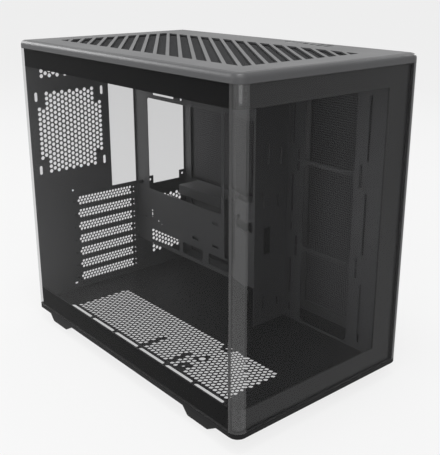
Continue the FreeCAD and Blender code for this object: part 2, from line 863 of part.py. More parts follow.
def make_drive_plate():
    """The folded plate for drives, on the back of the tray."""
    x0, x1 = tray_x + sheet, tray_x + drive_plate_gap
    y0, y1 = rear - drive_plate_front_inset, rear - drive_plate_rear_inset
    z0, z1 = rail_top, ledge_z - drive_plate_drop
    holes = [square_slot("x", x1, y, (z0 + z1) / 2, fan_slot_length, fan_slot_width)
             for y in (y0 + fan_slot_length, (y0 + y1) / 2, y1 - fan_slot_length)]
    face = plate("x", x1, sheet, rectangle("x", x1, y0, y1, z0, z1), holes)
    sides = [box(x0, x1 + sheet, y, y + sheet, z0, z1) for y in (y0, y1 - sheet)]
    return without_seams(face.fuse(sides))


def cover_stud_points():
    """Where the cover's studs enter the top frame."""
    x = right - cover_stud_inset
    y = rear - cover_stud_end_inset
    return [(-x, -y), (-x, y), (x, -y), (x, y)]


def chassis_top():
    """The whole chassis top, with the fan bay and the flange behind the glass."""
    half = housing_width / 2
    holes = [rectangle("z", top_sheet, fan_bay_left, fan_bay_right, fan_bay_front, fan_bay_rear),
             rectangle("z", top_sheet, port_x - half, port_x + half, port_row_front, port_row_rear)]
    size, spacing = fan_sizes[0]
    count = int((fan_bay_rear - fan_bay_front) / size)
    middle = (fan_bay_front + fan_bay_rear) / 2
    for x in (fan_bay_left - fan_slot_width - sheet, fan_bay_right + fan_slot_width + sheet):
        for k in range(count):
            for end in (-1, 1):
                y = middle + (k - (count - 1) / 2) * size + end * spacing / 2
                holes.append(square_slot("z", top_sheet, x, y, top_fan_slot, fan_slot_width))
    for x, y in cover_stud_points():
        holes.append(eight_sided("z", top_sheet, x, y, stud_radius + stud_clearance))
    lid = plate("z", top_sheet, sheet, chassis_plan(top_sheet), holes)
    low = top_sheet - top_flange
    ring = slab(chassis_plan(low), top_flange).cut(slab(chassis_plan(low, sheet), top_flange))
    keep = box(chassis_left - sheet, fan_wall_x - sheet, chassis_front - sheet, rear_inner,
               low - sheet, top_sheet + sheet)
    frame = lid.fuse(ring.common(keep))
    for side in (-1, 1):
        frame = frame.cut(stud_socket("x", chassis_left - sheet, side * side_stud_y, high_stud_z,
                                      skirt_socket))
        frame = frame.cut(stud_socket("y", chassis_front - sheet, side * front_stud_x, high_stud_z,
                                      skirt_socket))
    return without_seams(frame)


def make_top_frame():
    """The chassis top from the fan bay's left edge to the right."""
    frame = chassis_top()
    bounds = frame.BoundBox
    return without_seams(frame.common(box(fan_bay_left, bounds.XMax, bounds.YMin, bounds.YMax,
                                          bounds.ZMin, bounds.ZMax)))


def make_top_side_rail():
    """The folded rail of the chassis top over the glass side."""
    frame = chassis_top()
    bounds = frame.BoundBox
    return without_seams(frame.common(box(bounds.XMin, fan_bay_left, bounds.YMin, bounds.YMax,
                                          bounds.ZMin, bounds.ZMax)))


def usb_a_outline(level, y, growth):
    """A wide port's outline, grown all round."""
    a, b = usb_a_length / 2 + growth, usb_a_width / 2 + growth
    return rectangle("z", level, port_x - a, port_x + a, y - b, y + b)


def usb_c_outline(level, growth):
    """The small port's outline with its corners cut off, grown all round."""
    a, b = usb_c_length / 2 + growth, usb_c_width / 2 + growth
    return cut_corners("z", level, port_x - a, port_x + a, usb_c_y - b, usb_c_y + b, b / 2)


def port_openings(level):
    """The outlines of the ports and buttons, each widened by the gap round it."""
    outlines = [usb_a_outline(level, y, port_gap) for y in usb_a_y]
    outlines.append(usb_c_outline(level, port_gap))
    outlines.append(eight_sided("z", level, port_x, jack_y, jack_radius + port_gap))
    outlines.append(eight_sided("z", level, port_x, reset_y, reset_radius + port_gap))
    outlines.append(circle("z", level, port_x, power_y, power_radius + port_gap))
    return outlines


def make_top_cover():
    """The hollow cover with rounded edges and diagonal slats."""
    outer = slab(case_plan(0.0, cover_bottom), cover_height)
    outer = outer.makeFillet(cover_edge, edges_at(outer, case_height))
    hollow_low = cover_bottom + cover_plate
    hollow = slab(inner_plan(cover_wall, hollow_low), cover_ceiling - hollow_low)
    mouth = slab(inner_plan(cover_lip, cover_bottom - sheet), cover_plate + 2 * sheet)
    level = cover_ceiling - sheet
    outlines = slanted_slots("z", level, vent_left, vent_right, vent_front, vent_rear)
    outlines += port_openings(level)
    return outer.cut([hollow, mouth] + [slab(outline, cover_plate + 2 * sheet) for outline in outlines])


def make_top_filter():
    """The fine filter under the slats, on its raised edge."""
    x0, x1 = vent_left - filter_margin, vent_right + filter_margin
    y0, y1 = vent_front - filter_margin, vent_rear + filter_margin
    z0 = cover_ceiling - 2 * filter_thickness
    edge = filter_margin - sheet
    screen = box(x0, x1, y0, y1, z0, z0 + filter_thickness)
    inside = box(x0 + edge, x1 - edge, y0 + edge, y1 - edge, z0 - sheet, case_height)
    ring = box(x0, x1, y0, y1, z0, cover_ceiling).cut(inside)
    return without_seams(screen.fuse(ring))


def make_top_cover_studs():
    """The posts under the cover that snap into the top frame."""
    low = top_sheet - stud_length
    length = cover_ceiling - low
    return Part.makeCompound([peg("z", low, x, y, length, stud_radius) for x, y in cover_stud_points()])


def make_side_glass():
    """The flat glass panel on the left."""
    return box(left, left + glass_thickness, seam_y, rear - glass_rear_inset, glass_bottom, glass_top)


def make_side_glass_rail(z0, z1):
    """A dark strip bonded behind the side glass."""
    x0 = left + glass_thickness
    return box(x0, x0 + border_thickness, seam_y, rear_inner - border_gap, z0, z1)


def make_side_glass_studs():
    """Snap studs on the side glass's strips."""
    start = left + glass_thickness + border_thickness
    return Part.makeCompound([peg("x", start, y, z, stud_length, stud_radius)
                              for y in (-side_stud_y, side_stud_y) for z in (low_stud_z, high_stud_z)])


def bent_band(inset, thickness, z0, z1):
    """A band that runs along the front and bends round the left corner."""
    end_x = column_x - fit
    end_y = seam_y - fit
    centre_x, centre_y = left + front_corner, front + front_corner
    walls = []
    for depth in (inset, inset + thickness):
        r = front_corner - depth
        diagonal = r * math.sqrt(0.5)
        walls.append([V(end_x, front + depth, z0), V(centre_x, front + depth, z0),
                      V(centre_x - diagonal, centre_y - diagonal, z0), V(left + depth, centre_y, z0),
                      V(left + depth, end_y, z0)])
    outer, inner = walls
    edges = [Part.LineSegment(outer[0], outer[1]), Part.Arc(outer[1], outer[2], outer[3]),
             Part.LineSegment(outer[3], outer[4]), Part.LineSegment(outer[4], inner[4]),
             Part.LineSegment(inner[4], inner[3]), Part.Arc(inner[3], inner[2], inner[1]),
             Part.LineSegment(inner[1], inner[0]), Part.LineSegment(inner[0], outer[0])]
    return slab(Part.Wire([e.toShape() for e in edges]), z1 - z0)


def make_front_glass():
    """The front glass, bent round the front left corner."""
    return bent_band(0.0, glass_thickness, glass_bottom, glass_top)


def make_front_glass_border():
    """The dark strips bonded behind the front glass."""
    low = bent_band(glass_thickness, border_thickness, glass_bottom, rim_top + border_bottom)
    high = bent_band(glass_thickness, border_thickness, cover_bottom - border_top, glass_top)
    y0 = front + glass_thickness
    stile = box(column_x - border_stile, column_x - fit, y0, y0 + border_thickness, glass_bottom, glass_top)
    return without_seams(low.fuse([high, stile]))


def make_front_glass_studs():
    """Snap studs on the front glass's strips."""
    start = front + glass_thickness + border_thickness
    return Part.makeCompound([peg("y", start, x, z, stud_length, stud_radius)
                              for x in (-front_stud_x, front_stud_x) for z in (low_stud_z, high_stud_z)])


def make_right_panel():
    """The steel side panel with folded edges and two slatted fields."""
    x = right - sheet
    y0, y1 = front + front_corner + fit, rear - glass_rear_inset
    holes = []
    for field in panel_fields:
        holes += slanted_slots("x", x, *field)
    skin = plate("x", x, sheet, rectangle("x", x, y0, y1, glass_bottom, glass_top), holes)
    fold_x = right - panel_depth + fit
    ring = box(fold_x, x, y0, y1, glass_bottom, glass_top).cut(
        box(fold_x - sheet, x + sheet, y0 + sheet, y1 - sheet, glass_bottom + sheet, glass_top - sheet))
    return without_seams(skin.fuse(ring))


def make_right_filters():
    """The fine filters behind the right panel's slats."""
    x1 = right - sheet
    x0 = x1 - filter_thickness
    m = filter_margin
    return Part.makeCompound([box(x0, x1, y0 - m, y1 + m, z0 - m, z1 + m) for y0, y1, z0, z1 in panel_fields])


def make_right_panel_studs():
    """Snap studs on the inside of the right panel."""
    start = right - sheet - stud_length
    return Part.makeCompound([peg("x", start, y, z, stud_length, stud_radius)
                              for y, z in panel_stud_points()])


def switch_peg(y, radius):
    """A switch in the housing, just short of where its button ends its travel."""
    low = cover_bottom - switch_depth
    return peg("z", low, port_x, y, switch_depth + fit - switch_play, radius / 2)


def make_port_housing():
    """The block under the top frame that holds the ports and switches."""
    x0, x1 = port_x - housing_width / 2, port_x + housing_width / 2
    ears = box(x0 - housing_ear, x1 + housing_ear, port_row_front, port_row_rear,
               top_sheet - housing_height, top_sheet)
    neck = box(x0 + fit, x1 - fit, port_row_front + fit, port_row_rear - fit, top_sheet, cover_bottom)
    block = without_seams(ears.fuse(neck))
    return block.cut([switch_peg(power_y, power_radius), switch_peg(reset_y, reset_radius)])


def make_usb_a_ports():
    """Two port shells with their tongues."""
    ports = []
    height = port_top - cover_bottom
    for y in usb_a_y:
        shell = slab(usb_a_outline(cover_bottom, y, 0.0), height)
        hollow = slab(usb_a_outline(port_bottom, y, -port_wall), height)
        a, b = usb_a_length / 2 - 2 * port_wall, usb_a_width / 2 - 2 * port_wall
        tongue = box(port_x - a, port_x + a, y - b, y, port_bottom, port_top - sheet)
        ports.append(shell.cut(hollow).fuse(tongue))
    return Part.makeCompound(ports)


def make_usb_c_port():
    """The narrow port shell with its tongue."""
    height = port_top - cover_bottom
    shell = slab(usb_c_outline(cover_bottom, 0.0), height)
    hollow = slab(usb_c_outline(port_bottom, -port_wall), height)
    half = usb_c_length / 2 - 3 * port_wall
    tongue = box(port_x - half, port_x + half, usb_c_y - port_wall / 2, usb_c_y + port_wall / 2,
                 port_bottom, port_top - sheet)
    return shell.cut(hollow).fuse(tongue)


def make_audio_jack():
    """The round headset socket."""
    body = peg("z", cover_bottom, port_x, jack_y, port_top - cover_bottom, jack_radius)
    return body.cut(rod(AXES["z"], V(port_x, jack_y, port_bottom), port_top - cover_bottom, jack_bore))


def make_button(y, radius):
    """A round push button with the flange that keeps it under the cover."""
    low = cover_bottom + button_travel + fit
    stem = rod(AXES["z"], V(port_x, y, low), case_height - fit - low, radius)
    flange_low = cover_ceiling - fit - flange_height
    return stem.fuse(peg("z", flange_low, port_x, y, flange_height, radius + flange_width))


def make_switches():
    """The switch bodies in the housing that the buttons press on."""
    return Part.makeCompound([switch_peg(power_y, power_radius), switch_peg(reset_y, reset_radius)])


nodes = {
    "base_frame": make_base_frame(),
    "foot_front_left": make_foot(front_foot_y, -1),
    "foot_front_right": make_foot(front_foot_y, 1),
    "foot_rear_left": make_foot(rear_foot_y, -1),
    "foot_rear_right": make_foot(rear_foot_y, 1),
    "foot_pads": make_foot_pads(),
    "floor_panel": make_floor_panel(),
    "rear_panel": make_rear_panel(),
    "slot_screws": make_slot_screws(),
    "motherboard_tray": make_motherboard_tray(),
    "tray_front_strip": make_tray_front_strip(),
    "tray_lower_rail": make_tray_lower_rail(),
    "standoffs": make_standoffs(),
    "step_wall": make_step_wall(),
    "side_fan_plate": make_side_fan_plate(),
    "corner_column": make_corner_column(),
    "side_frame": make_side_frame(),
    "psu_ledge": make_psu_ledge(),
    "drive_plate": make_drive_plate(),
    "top_frame": make_top_frame(),
    "top_side_rail": make_top_side_rail(),
    "port_housing": make_port_housing(),
    "usb_a_ports": make_usb_a_ports(),
    "usb_c_port": make_usb_c_port(),
    "audio_jack": make_audio_jack(),
    "switches": make_switches(),
    "power_button": make_button(power_y, power_radius),
    "reset_button": make_button(reset_y, reset_radius),
    "top_cover": make_top_cover(),
    "top_filter": make_top_filter(),
    "top_cover_studs": make_top_cover_studs(),
    "side_glass": make_side_glass(),
    "side_glass_top_rail": make_side_glass_rail(cover_bottom - border_top, glass_top),
    "side_glass_bottom_rail": make_side_glass_rail(glass_bottom, rim_top + border_bottom),
    "side_glass_studs": make_side_glass_studs(),
    "front_glass": make_front_glass(),
    "front_glass_border": make_front_glass_border(),
    "front_glass_studs": make_front_glass_studs(),
    "right_panel": make_right_panel(),
    "right_filters": make_right_filters(),
    "right_panel_studs": make_right_panel_studs(),
}
for k in range(slot_count):
    nodes["slot_cover_%d" % (k + 1)] = make_slot_cover(k)

os.makedirs("parts", exist_ok=True)
for name, shape in nodes.items():
    shape.exportStep("parts/%s.step" % name)
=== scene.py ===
import json
import math

import bmesh
import bpy
from bpy.props import FloatProperty, FloatVectorProperty, PointerProperty
from mathutils import Matrix, Vector


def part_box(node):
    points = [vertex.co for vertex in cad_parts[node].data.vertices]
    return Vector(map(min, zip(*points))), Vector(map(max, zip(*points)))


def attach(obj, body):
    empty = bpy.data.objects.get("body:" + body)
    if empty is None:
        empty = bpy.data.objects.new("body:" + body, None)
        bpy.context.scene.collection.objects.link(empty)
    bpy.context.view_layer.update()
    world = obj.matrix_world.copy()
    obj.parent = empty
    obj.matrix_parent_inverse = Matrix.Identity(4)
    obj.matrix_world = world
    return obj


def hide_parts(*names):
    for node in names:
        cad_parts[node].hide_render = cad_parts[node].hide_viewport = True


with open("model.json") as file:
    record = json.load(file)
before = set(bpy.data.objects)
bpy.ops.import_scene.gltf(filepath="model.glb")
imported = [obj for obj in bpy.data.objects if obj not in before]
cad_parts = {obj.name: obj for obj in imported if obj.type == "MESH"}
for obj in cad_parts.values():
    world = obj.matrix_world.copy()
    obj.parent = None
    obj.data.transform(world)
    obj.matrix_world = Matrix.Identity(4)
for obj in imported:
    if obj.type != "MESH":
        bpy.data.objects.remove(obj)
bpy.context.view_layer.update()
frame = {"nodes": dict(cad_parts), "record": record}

bl_info = {
    "name": "Tower Case Dressing",
    "version": (1, 0, 0),
    "blender": (4, 5, 0),
    "location": "View3D > Sidebar > Case",
    "description": "Models the fine vents, the slatted cover and the finishes of a tower computer case",
    "category": "Object",
}

# All sizes are in metres: +Z is up, the front is -Y and the glass side is -X.
# A field or an opening holds its ends along one side of its sheet, then along the other.

# Thickness of a sheet, how far a cutter reaches past it, a tolerance, the least part of a normal
# for a face that faces a way, and the share of a slot's end that is round
SHEET = 0.001
PAST = 0.002
NEAR = 0.00002
FACING = 0.5
SLOT_END = 0.998

# Corners of the prisms and how they lie along an axis, steps of the rounded edges, and the angle
# up to which faces are shaded as one
SMOOTH_ANGLE = math.radians(25)
HEX_CORNERS = 6
PRISM_POINTS = 2 * HEX_CORNERS
ROUND_CORNERS = 20
ARRIS_STEPS = 2
HOLE_STEPS = 4
EDGE_STEPS = 6
CORNER_STEPS = 10
BEND_STEPS = 14
PRISM_TURN = {"x": (0.0, math.pi / 2, 0.0), "y": (math.pi / 2, math.pi / HEX_CORNERS, 0.0),
              "z": (0.0, 0.0, math.pi / HEX_CORNERS)}
THROUGH = {"x": 0, "y": 1, "z": 2}

# Fan vent: its middle, half its screws' spacing, its half sizes, the place and half height
# of its shorter outer columns, and a screw slot's width and height
FAN_CENTRE = (-0.0702, 0.2816)
FAN_HALF_HOLES = 0.0525
FAN_VENT_HALF = (0.0515, 0.0590)
FAN_VENT_SIDE = (0.0400, 0.0365)
FAN_SLOT = (0.0045, 0.013)

# Other rear openings. A dash has its place, width and height, and a dot its place and radius.
# The low dash also goes through the lowest slot cover.
TOP_ROW = (-0.1152, -0.0850, 0.3594, 0.3723)
LOW_VENT = (0.0635, 0.128, 0.056, 0.156)
IO_OPENING = (-0.0062, 0.03825, 0.185, 0.34375)
TOP_DASH = (-0.0758, 0.3609, 0.0046, 0.0018)
LOW_DASH = (-0.0771, 0.0422, 0.0056, 0.0028)
REAR_DOT = (-0.0744, 0.1901, 0.0016)

# Card slots: an opening's two ends and height, the first and last hole of a row with their number
# and the rows' spacing, the screw's place and radius, the small holes' place, rise and radius, and
# the share of a cover's height that rounds its tip
SLOT_COUNT = 7
SLOT_PITCH = 0.02032
FIRST_SLOT = 0.172
SLOT_OPENING = (-0.0680, 0.0293, 0.0134)
SLOT_ROW = (-0.0625, 0.0265, 18, 0.0045)
SLOT_SCREW = (-0.0732, 0.00175)
SLOT_DOTS = (0.0325, 0.0037, 0.0014)
SLOT_TIP = 0.25

# Power supply opening: the places of its screw holes, and how far it reaches from them
POWER_HOLES = (0.0649, 0.1289, 0.182, 0.320)
POWER_RADIUS = 0.002
POWER_TAB = 0.006
POWER_SIDE = 0.004
POWER_END = 0.007

# Floor: the vent with its bare strips (two ends and a place along the case) and fixing holes
# (place and radius), then the slots beside it (place, width, length, pitch and number)
FLOOR_LEFT_RADIUS = 0.0085
FLOOR_RIGHT_RADIUS = 0.011
FLOOR_VENT = (-0.1078, -0.0182, -0.172, 0.1695)
FLOOR_STRIPS = [(-0.107, -0.0705, 0.0), (-0.108, -0.0685, -0.055)]
FLOOR_STRIP_HALF = 0.0045
FLOOR_BOSSES = [(-0.0675, -0.0775, 0.0045), (-0.0968, -0.0765, 0.0022), (-0.0263, -0.0775, 0.0022)]
FLOOR_BOSS_REACH = 0.0085
FLOOR_REAR_HOLES = [(-0.1108, 0.2125, 0.0019), (-0.0020, 0.2105, 0.0019)]
RAIL_SLOT = (-0.1125, 0.0070, 0.0534, 0.058, 6)

# Tray: openings with the radius of their corners, and round holes with their radius
TRAY_CUTS = [(0.01447, 0.187, 0.1785, 0.3205, 0.004), (-0.00903, 0.00797, 0.116, 0.323, 0.002),
             (0.1115, 0.1845, 0.096, 0.114, 0.003), (0.056, 0.103, 0.096, 0.114, 0.003),
             (-0.005, 0.042, 0.096, 0.114, 0.003), (0.1205, 0.172, 0.326, 0.3305, 0.0015),
             (-0.04903, -0.01203, 0.169, 0.182, 0.002), (-0.04903, -0.01203, 0.210, 0.320, 0.003),
             (0.1790, 0.1825, 0.133, 0.146, 0.0015), (0.020, 0.034, 0.126, 0.130, 0.0015),
             (0.066, 0.080, 0.126, 0.130, 0.0015), (0.020, 0.034, 0.160, 0.164, 0.0015)]
TRAY_DOTS = [(0.1035, 0.328, 0.0024), (0.1647, 0.1307, 0.0017), (0.157, 0.1277, 0.0017),
             (-0.0440, 0.354, 0.0017), (0.0105, 0.354, 0.0017), (0.198, 0.354, 0.0017),
             (0.198, 0.130, 0.0017)]

# Corners of the outline and of the glass, the slats' field, and the ports. A port has its size
# and its place along the case.
FRONT_RADIUS = 0.0135
REAR_RADIUS = 0.006
CORNER_ARRIS = 0.0005
COVER_VENT = (-0.0995, 0.078, -0.1835, 0.1835)
PORT_X = 0.1165
PORT_GAP = 0.0005
USB_A = (0.0132, 0.0058, (-0.089, -0.1025))
USB_C = (0.0090, 0.0034, -0.076)
ROUND_PORTS = [(-0.0635, 0.0036), (-0.0515, 0.0032), (-0.0355, 0.0066)]

# Order of the finishes on the faces of a pane
CLEAR_FACE, EDGE_FACE, BENT_FACE = range(3)

# Sockets of a Mix node that mixes colours
MIX_FIRST = 6
MIX_SECOND = 7
MIX_RESULT = 2

# Grain of the coats, and threads and gloss of the screens
GRAIN_SCALE = 1800.0
GRAIN_DETAIL = 3.0
TONE_SCALE = 9.0
TONE_DETAIL = 4.0
TONE_RANGE = (0.3, 0.7)
TONE_CHANGE = 0.1
GLOSS_CHANGE = 0.04
GRAIN_DEPTH = 0.0002
THREADS = 1960.0
THREAD_RANGE = (0.2, 0.8)
THREAD_STRENGTH = 0.4
THREAD_DEPTH = 0.0003
SCREEN_ROUGHNESS = 0.7

# Glass: how much it bends light, and the gloss of the flat panes and of the bent corner
GLASS_BENDING = 1.08
GLOSS_BENDING = 1.7
GLOSS_ROUGHNESS = 0.02
FLAT_GLOSS = 0.05
BENT_GLOSS = 0.65

# Each coat has the setting that holds its colour, its roughness, the scale and the strength of its
# grain, how metallic it is and its specular level.
COATS = {
    "Cover Coat": ("cover", 0.38, 1500.0, 0.02, 0.0, 0.3),
    "Outer Coat": ("outer", 0.34, 1500.0, 0.02, 0.0, 0.4),
    # The base rim's coat is a darker copy of the outer paint: painted shade.
    "Base Coat": ("base", 0.50, 1500.0, 0.02, 0.0, 0.1),
    "Chassis Coat": ("chassis", 0.46, 1500.0, 0.03, 0.0, 0.5),
    # The floor's coat is a darker copy of the chassis paint: painted shade.
    "Floor Coat": ("floor", 0.48, 1500.0, 0.03, 0.0, 0.15),
    # The ledge's coat takes a lighter grey than the chassis paint: a painted highlight.
    "Ledge Coat": ("side_screen", 0.46, 1500.0, 0.02, 0.0, 0.5),
    "Black Plastic": ("plastic", 0.55, 900.0, 0.04, 0.0, 0.15),
    "Border Strip": ("border", 0.40, 900.0, 0.01, 0.0, 0.5),
    "Foot Rubber": ("rubber", 0.75, 700.0, 0.10, 0.0, 0.5),
    "Screw Black": ("fittings", 0.38, 1800.0, 0.03, 0.6, 0.5),
    "Post Black": ("fittings", 0.35, 1800.0, 0.03, 0.5, 0.5),
    "Port Metal": ("metal", 0.30, 1800.0, 0.03, 1.0, 0.5),
    "Button Plastic": ("fittings", 0.28, 900.0, 0.03, 0.0, 0.5),
    "Glass Edge": ("edge", 0.55, 1800.0, 0.05, 0.0, 0.5),
}
BY_SLOT = {
    "cover_paint": "Cover Coat", "outer_paint": "Outer Coat", "chassis_paint": "Chassis Coat",
    "black_plastic": "Black Plastic", "border_black": "Border Strip", "foot_rubber": "Foot Rubber",
    "screw_black": "Screw Black", "standoff_black": "Post Black", "port_metal": "Port Metal",
    "button_plastic": "Button Plastic", "filter_mesh": "Filter Screen", "smoked_glass": "Smoky Glass",
}
# The base rim gets a darker copy of its paint as painted shade; the right screen and the ledge get
# lighter copies as painted light.
BY_NODE = {"base_frame": "Base Coat", "right_filters": "Side Screen", "psu_ledge": "Ledge Coat"}

# Stage: the ground, each lamp's size, place and target, and the camera's sensor and shift in pixels
GROUND_SIZE = 120.0
GROUND_LEVEL = -0.0002
GROUND_ROUGHNESS = 0.9
GROUND_GLOW = 0.9
LAMPS = {
    "key": (1.6, (-0.9, -1.1, 1.9), (0.0, 0.0, 0.25)),
    "fill": (1.2, (-1.9, 0.5, 0.9), (0.0, 0.0, 0.2)),
    "rim": (1.0, (-0.7, 2.0, 1.3), (-0.1, 0.0, 0.4)),
    "edge": (0.5, (2.0, 0.1, 1.1), (0.1, -0.2, 0.4)),
    "front": (1.2, (-1.4, -1.9, 0.55), (0.0, 0.0, 0.2)),
    "top": (0.5, (-0.25, -0.25, 2.0), (-0.1, -0.2, 0.4)),
}
SENSOR_WIDTH = 36.0
PICTURE_HEIGHT = 455
PICTURE_SHIFT = (-0.184, -19.888)


class CaseVentSettings(bpy.types.PropertyGroup):
    """Sizes of the honeycomb vents."""
    pitch: FloatProperty(name="Vent pitch", default=0.007, unit="LENGTH",
                         description="Distance between neighbouring vent holes")
    across: FloatProperty(name="Vent hole", default=0.0057, unit="LENGTH",
                          description="Width of a vent hole across its flats")
    rear_across: FloatProperty(name="Rear vent hole", default=0.0052, unit="LENGTH",
                               description="Width of a rear vent hole across its flats")
    slot_across: FloatProperty(name="Slot cover hole", default=0.0040, unit="LENGTH",
                               description="Width of a slot cover's hole across its flats")


class CaseCoverSettings(bpy.types.PropertyGroup):
    """Sizes of the slatted top cover."""
    slat_pitch: FloatProperty(name="Slat pitch", default=0.0145, unit="LENGTH",
                              description="Distance between neighbouring slats")
    slat_width: FloatProperty(name="Slat width", default=0.0042, unit="LENGTH",
                              description="Width of one slat")
    slat_angle: FloatProperty(name="Slat angle", default=math.radians(53.5), subtype="ANGLE",
                              description="Angle of the slats from the case's width")
    edge: FloatProperty(name="Edge radius", default=0.0058, unit="LENGTH",
                        description="Radius of the upper edge")
    groove_inset: FloatProperty(name="Groove inset", default=0.0066, unit="LENGTH",
                                description="Distance from the side to the groove")
    groove_width: FloatProperty(name="Groove width", default=0.0010, unit="LENGTH",
                                description="Width of the groove")
    groove_depth: FloatProperty(name="Groove depth", default=0.0004, unit="LENGTH",
                                description="Depth of the groove")
    wall: FloatProperty(name="Wall", default=0.003, unit="LENGTH",
                        description="Thickness of the cover's wall")
    plate: FloatProperty(name="Plate", default=0.0022, unit="LENGTH",
                         description="Thickness of the cover's top")


class CaseFinishSettings(bpy.types.PropertyGroup):
    """Colours of the finishes, with darker and lighter copies that paint shade and light on some parts.
    """
    cover: FloatVectorProperty(name="Cover", default=(0.045, 0.0453, 0.047), subtype="COLOR",
                               description="Colour of the top cover")
    outer: FloatVectorProperty(name="Outer paint", default=(0.025, 0.0252, 0.026), subtype="COLOR",
                               description="Colour of the column and the side panel")
    # The base rim's colour is darker than the outer paint: painted shade.
    base: FloatVectorProperty(name="Base paint", default=(0.007, 0.007, 0.0073), subtype="COLOR",
                              description="Colour of the base rim")
    chassis: FloatVectorProperty(name="Chassis paint", default=(0.063, 0.0635, 0.065), subtype="COLOR",
                                 description="Colour of the steel inside")
    # The floor's colour is darker than the chassis: painted shade.
    floor: FloatVectorProperty(name="Floor paint", default=(0.017, 0.017, 0.0174), subtype="COLOR",
                               description="Colour of the floor sheet")
    edge: FloatVectorProperty(name="Glass edge", default=(0.02, 0.02, 0.0205), subtype="COLOR",
                              description="Colour of the glass's ground edges")
    plastic: FloatVectorProperty(name="Plastic", default=(0.009, 0.009, 0.0093), subtype="COLOR",
                                 description="Colour of the black plastic")
    border: FloatVectorProperty(name="Border", default=(0.009, 0.009, 0.0093), subtype="COLOR",
                                description="Colour of the strips behind the glass")
    rubber: FloatVectorProperty(name="Rubber", default=(0.016, 0.016, 0.016), subtype="COLOR",
                                description="Colour of the pads under the feet")
    fittings: FloatVectorProperty(name="Fittings", default=(0.05, 0.05, 0.052), subtype="COLOR",
                                  description="Colour of the screws, posts and buttons")
    metal: FloatVectorProperty(name="Port metal", default=(0.50, 0.50, 0.51), subtype="COLOR",
                               description="Colour of the ports' shells")
    # A lighter grey that paints light on the right screen and on the ledge.
    side_screen: FloatVectorProperty(name="Painted light grey", default=(0.13, 0.13, 0.132), subtype="COLOR",
                                     description="Colour of the right screen's threads and of the ledge")
    glass: FloatVectorProperty(name="Glass", default=(0.66, 0.66, 0.665), subtype="COLOR",
                               description="Tint of the glass")


class CaseStageSettings(bpy.types.PropertyGroup):
    """Light, ground and camera."""
    ground: FloatVectorProperty(name="Ground", default=(0.871, 0.871, 0.871), subtype="COLOR",
                                description="Colour of the ground and the background")
    backdrop: FloatVectorProperty(name="Backdrop", default=(0.89, 0.89, 0.89), subtype="COLOR",
                                  description="Colour that the ground shows")
    ambient: FloatProperty(name="Ambient", default=0.62, min=0.0,
                           description="Strength of the light from all sides")
    key: FloatProperty(name="Key", default=26.0, unit="POWER",
                       description="Power of the large lamp over the front corner")
    fill: FloatProperty(name="Fill", default=9.0, unit="POWER",
                        description="Power of the lamp on the glass side")
    rim: FloatProperty(name="Rim", default=22.0, unit="POWER",
                       description="Power of the lamp behind the case")
    edge: FloatProperty(name="Edge", default=9.0, unit="POWER",
                        description="Power of the lamp on the right")
    front: FloatProperty(name="Front", default=6.0, unit="POWER",
                         description="Power of the low lamp in front")
    top: FloatProperty(name="Top", default=16.0, unit="POWER",
                       description="Power of the lamp overhead")
    lens: FloatProperty(name="Lens", default=59.54, unit="CAMERA",
                        description="Focal length of the camera")
    turn: FloatProperty(name="Turn", default=-0.6992, subtype="ANGLE",
                        description="Camera's angle about the case")
    rise: FloatProperty(name="Rise", default=0.3091, subtype="ANGLE",
                        description="Camera's angle above the ground")
    roll: FloatProperty(name="Roll", default=-0.0003, subtype="ANGLE",
                        description="Camera's lean")
    place: FloatVectorProperty(name="Place", default=(-0.59898, -0.74401, 0.50603), subtype="XYZ",
                               unit="LENGTH", description="Where the camera stands")


# Modelling helpers

def clear_selection():
    """Leaves edit mode and deselects everything."""
    if bpy.context.object is not None and bpy.context.object.mode != "OBJECT":
        bpy.ops.object.mode_set(mode="OBJECT")
    bpy.ops.object.select_all(action="DESELECT")


def choose(*pieces):
    """Selects pieces, with the first one active."""
    clear_selection()
    for piece in pieces:
        piece.select_set(True)
    bpy.context.view_layer.objects.active = pieces[0]
    return pieces[0]


def settle(name):
    """Names the new object and puts its place into its mesh."""
    piece = bpy.context.object
    piece.name = name
    bpy.ops.object.transform_apply(location=True, rotation=True, scale=True)
    return piece


def block(name, low, high):
    """A block between two corners."""
    clear_selection()
    low, high = Vector(low), Vector(high)
    bpy.ops.mesh.primitive_cube_add(size=1.0, location=(low + high) / 2)
    bpy.context.object.scale = high - low
    return settle(name)


def prism(name, corners, radius, low, high, axis):
    """A prism along an axis, between two end points."""
    clear_selection()
    low, high = Vector(low), Vector(high)
    bpy.ops.mesh.primitive_cylinder_add(vertices=corners, radius=radius, depth=(high - low).length,
                                        location=(low + high) / 2, rotation=PRISM_TURN[axis])
    return settle(name)


def pick_edges(piece, test):
    """Enters edit mode and selects the edges whose two ends pass a test."""
    choose(piece)
    bpy.ops.object.mode_set(mode="EDIT")
    bpy.ops.mesh.select_mode(type="EDGE")
    bpy.ops.mesh.select_all(action="DESELECT")
    shape = bmesh.from_edit_mesh(piece.data)
    for edge in shape.edges:
        edge.select_set(test(edge.verts[0].co, edge.verts[1].co))
    bmesh.update_edit_mesh(piece.data)


def upright(a, b):
    """True for an edge that stands upright between its two ends."""
    return abs(a.z - b.z) > SHEET / 2


def ease_edges(piece, test, radius, segments):
    """Rounds the edges that pass a test."""
    pick_edges(piece, test)
    bpy.ops.mesh.bevel(offset=radius, segments=segments, affect="EDGES")
    bpy.ops.object.mode_set(mode="OBJECT")
    return piece


def apply_modifier(piece, kind, **values):
    """Adds a modifier with its values and applies it."""
    choose(piece)
    modifier = piece.modifiers.new(kind.title(), kind)
    for key, value in values.items():
        setattr(modifier, key, value)
    bpy.ops.object.modifier_apply(modifier=modifier.name)
    return piece


def joined(name, pieces):
    """Joins pieces into the first one."""
    choose(*pieces)
    if len(pieces) > 1:
        bpy.ops.object.join()
    pieces[0].name = name
    return pieces[0]


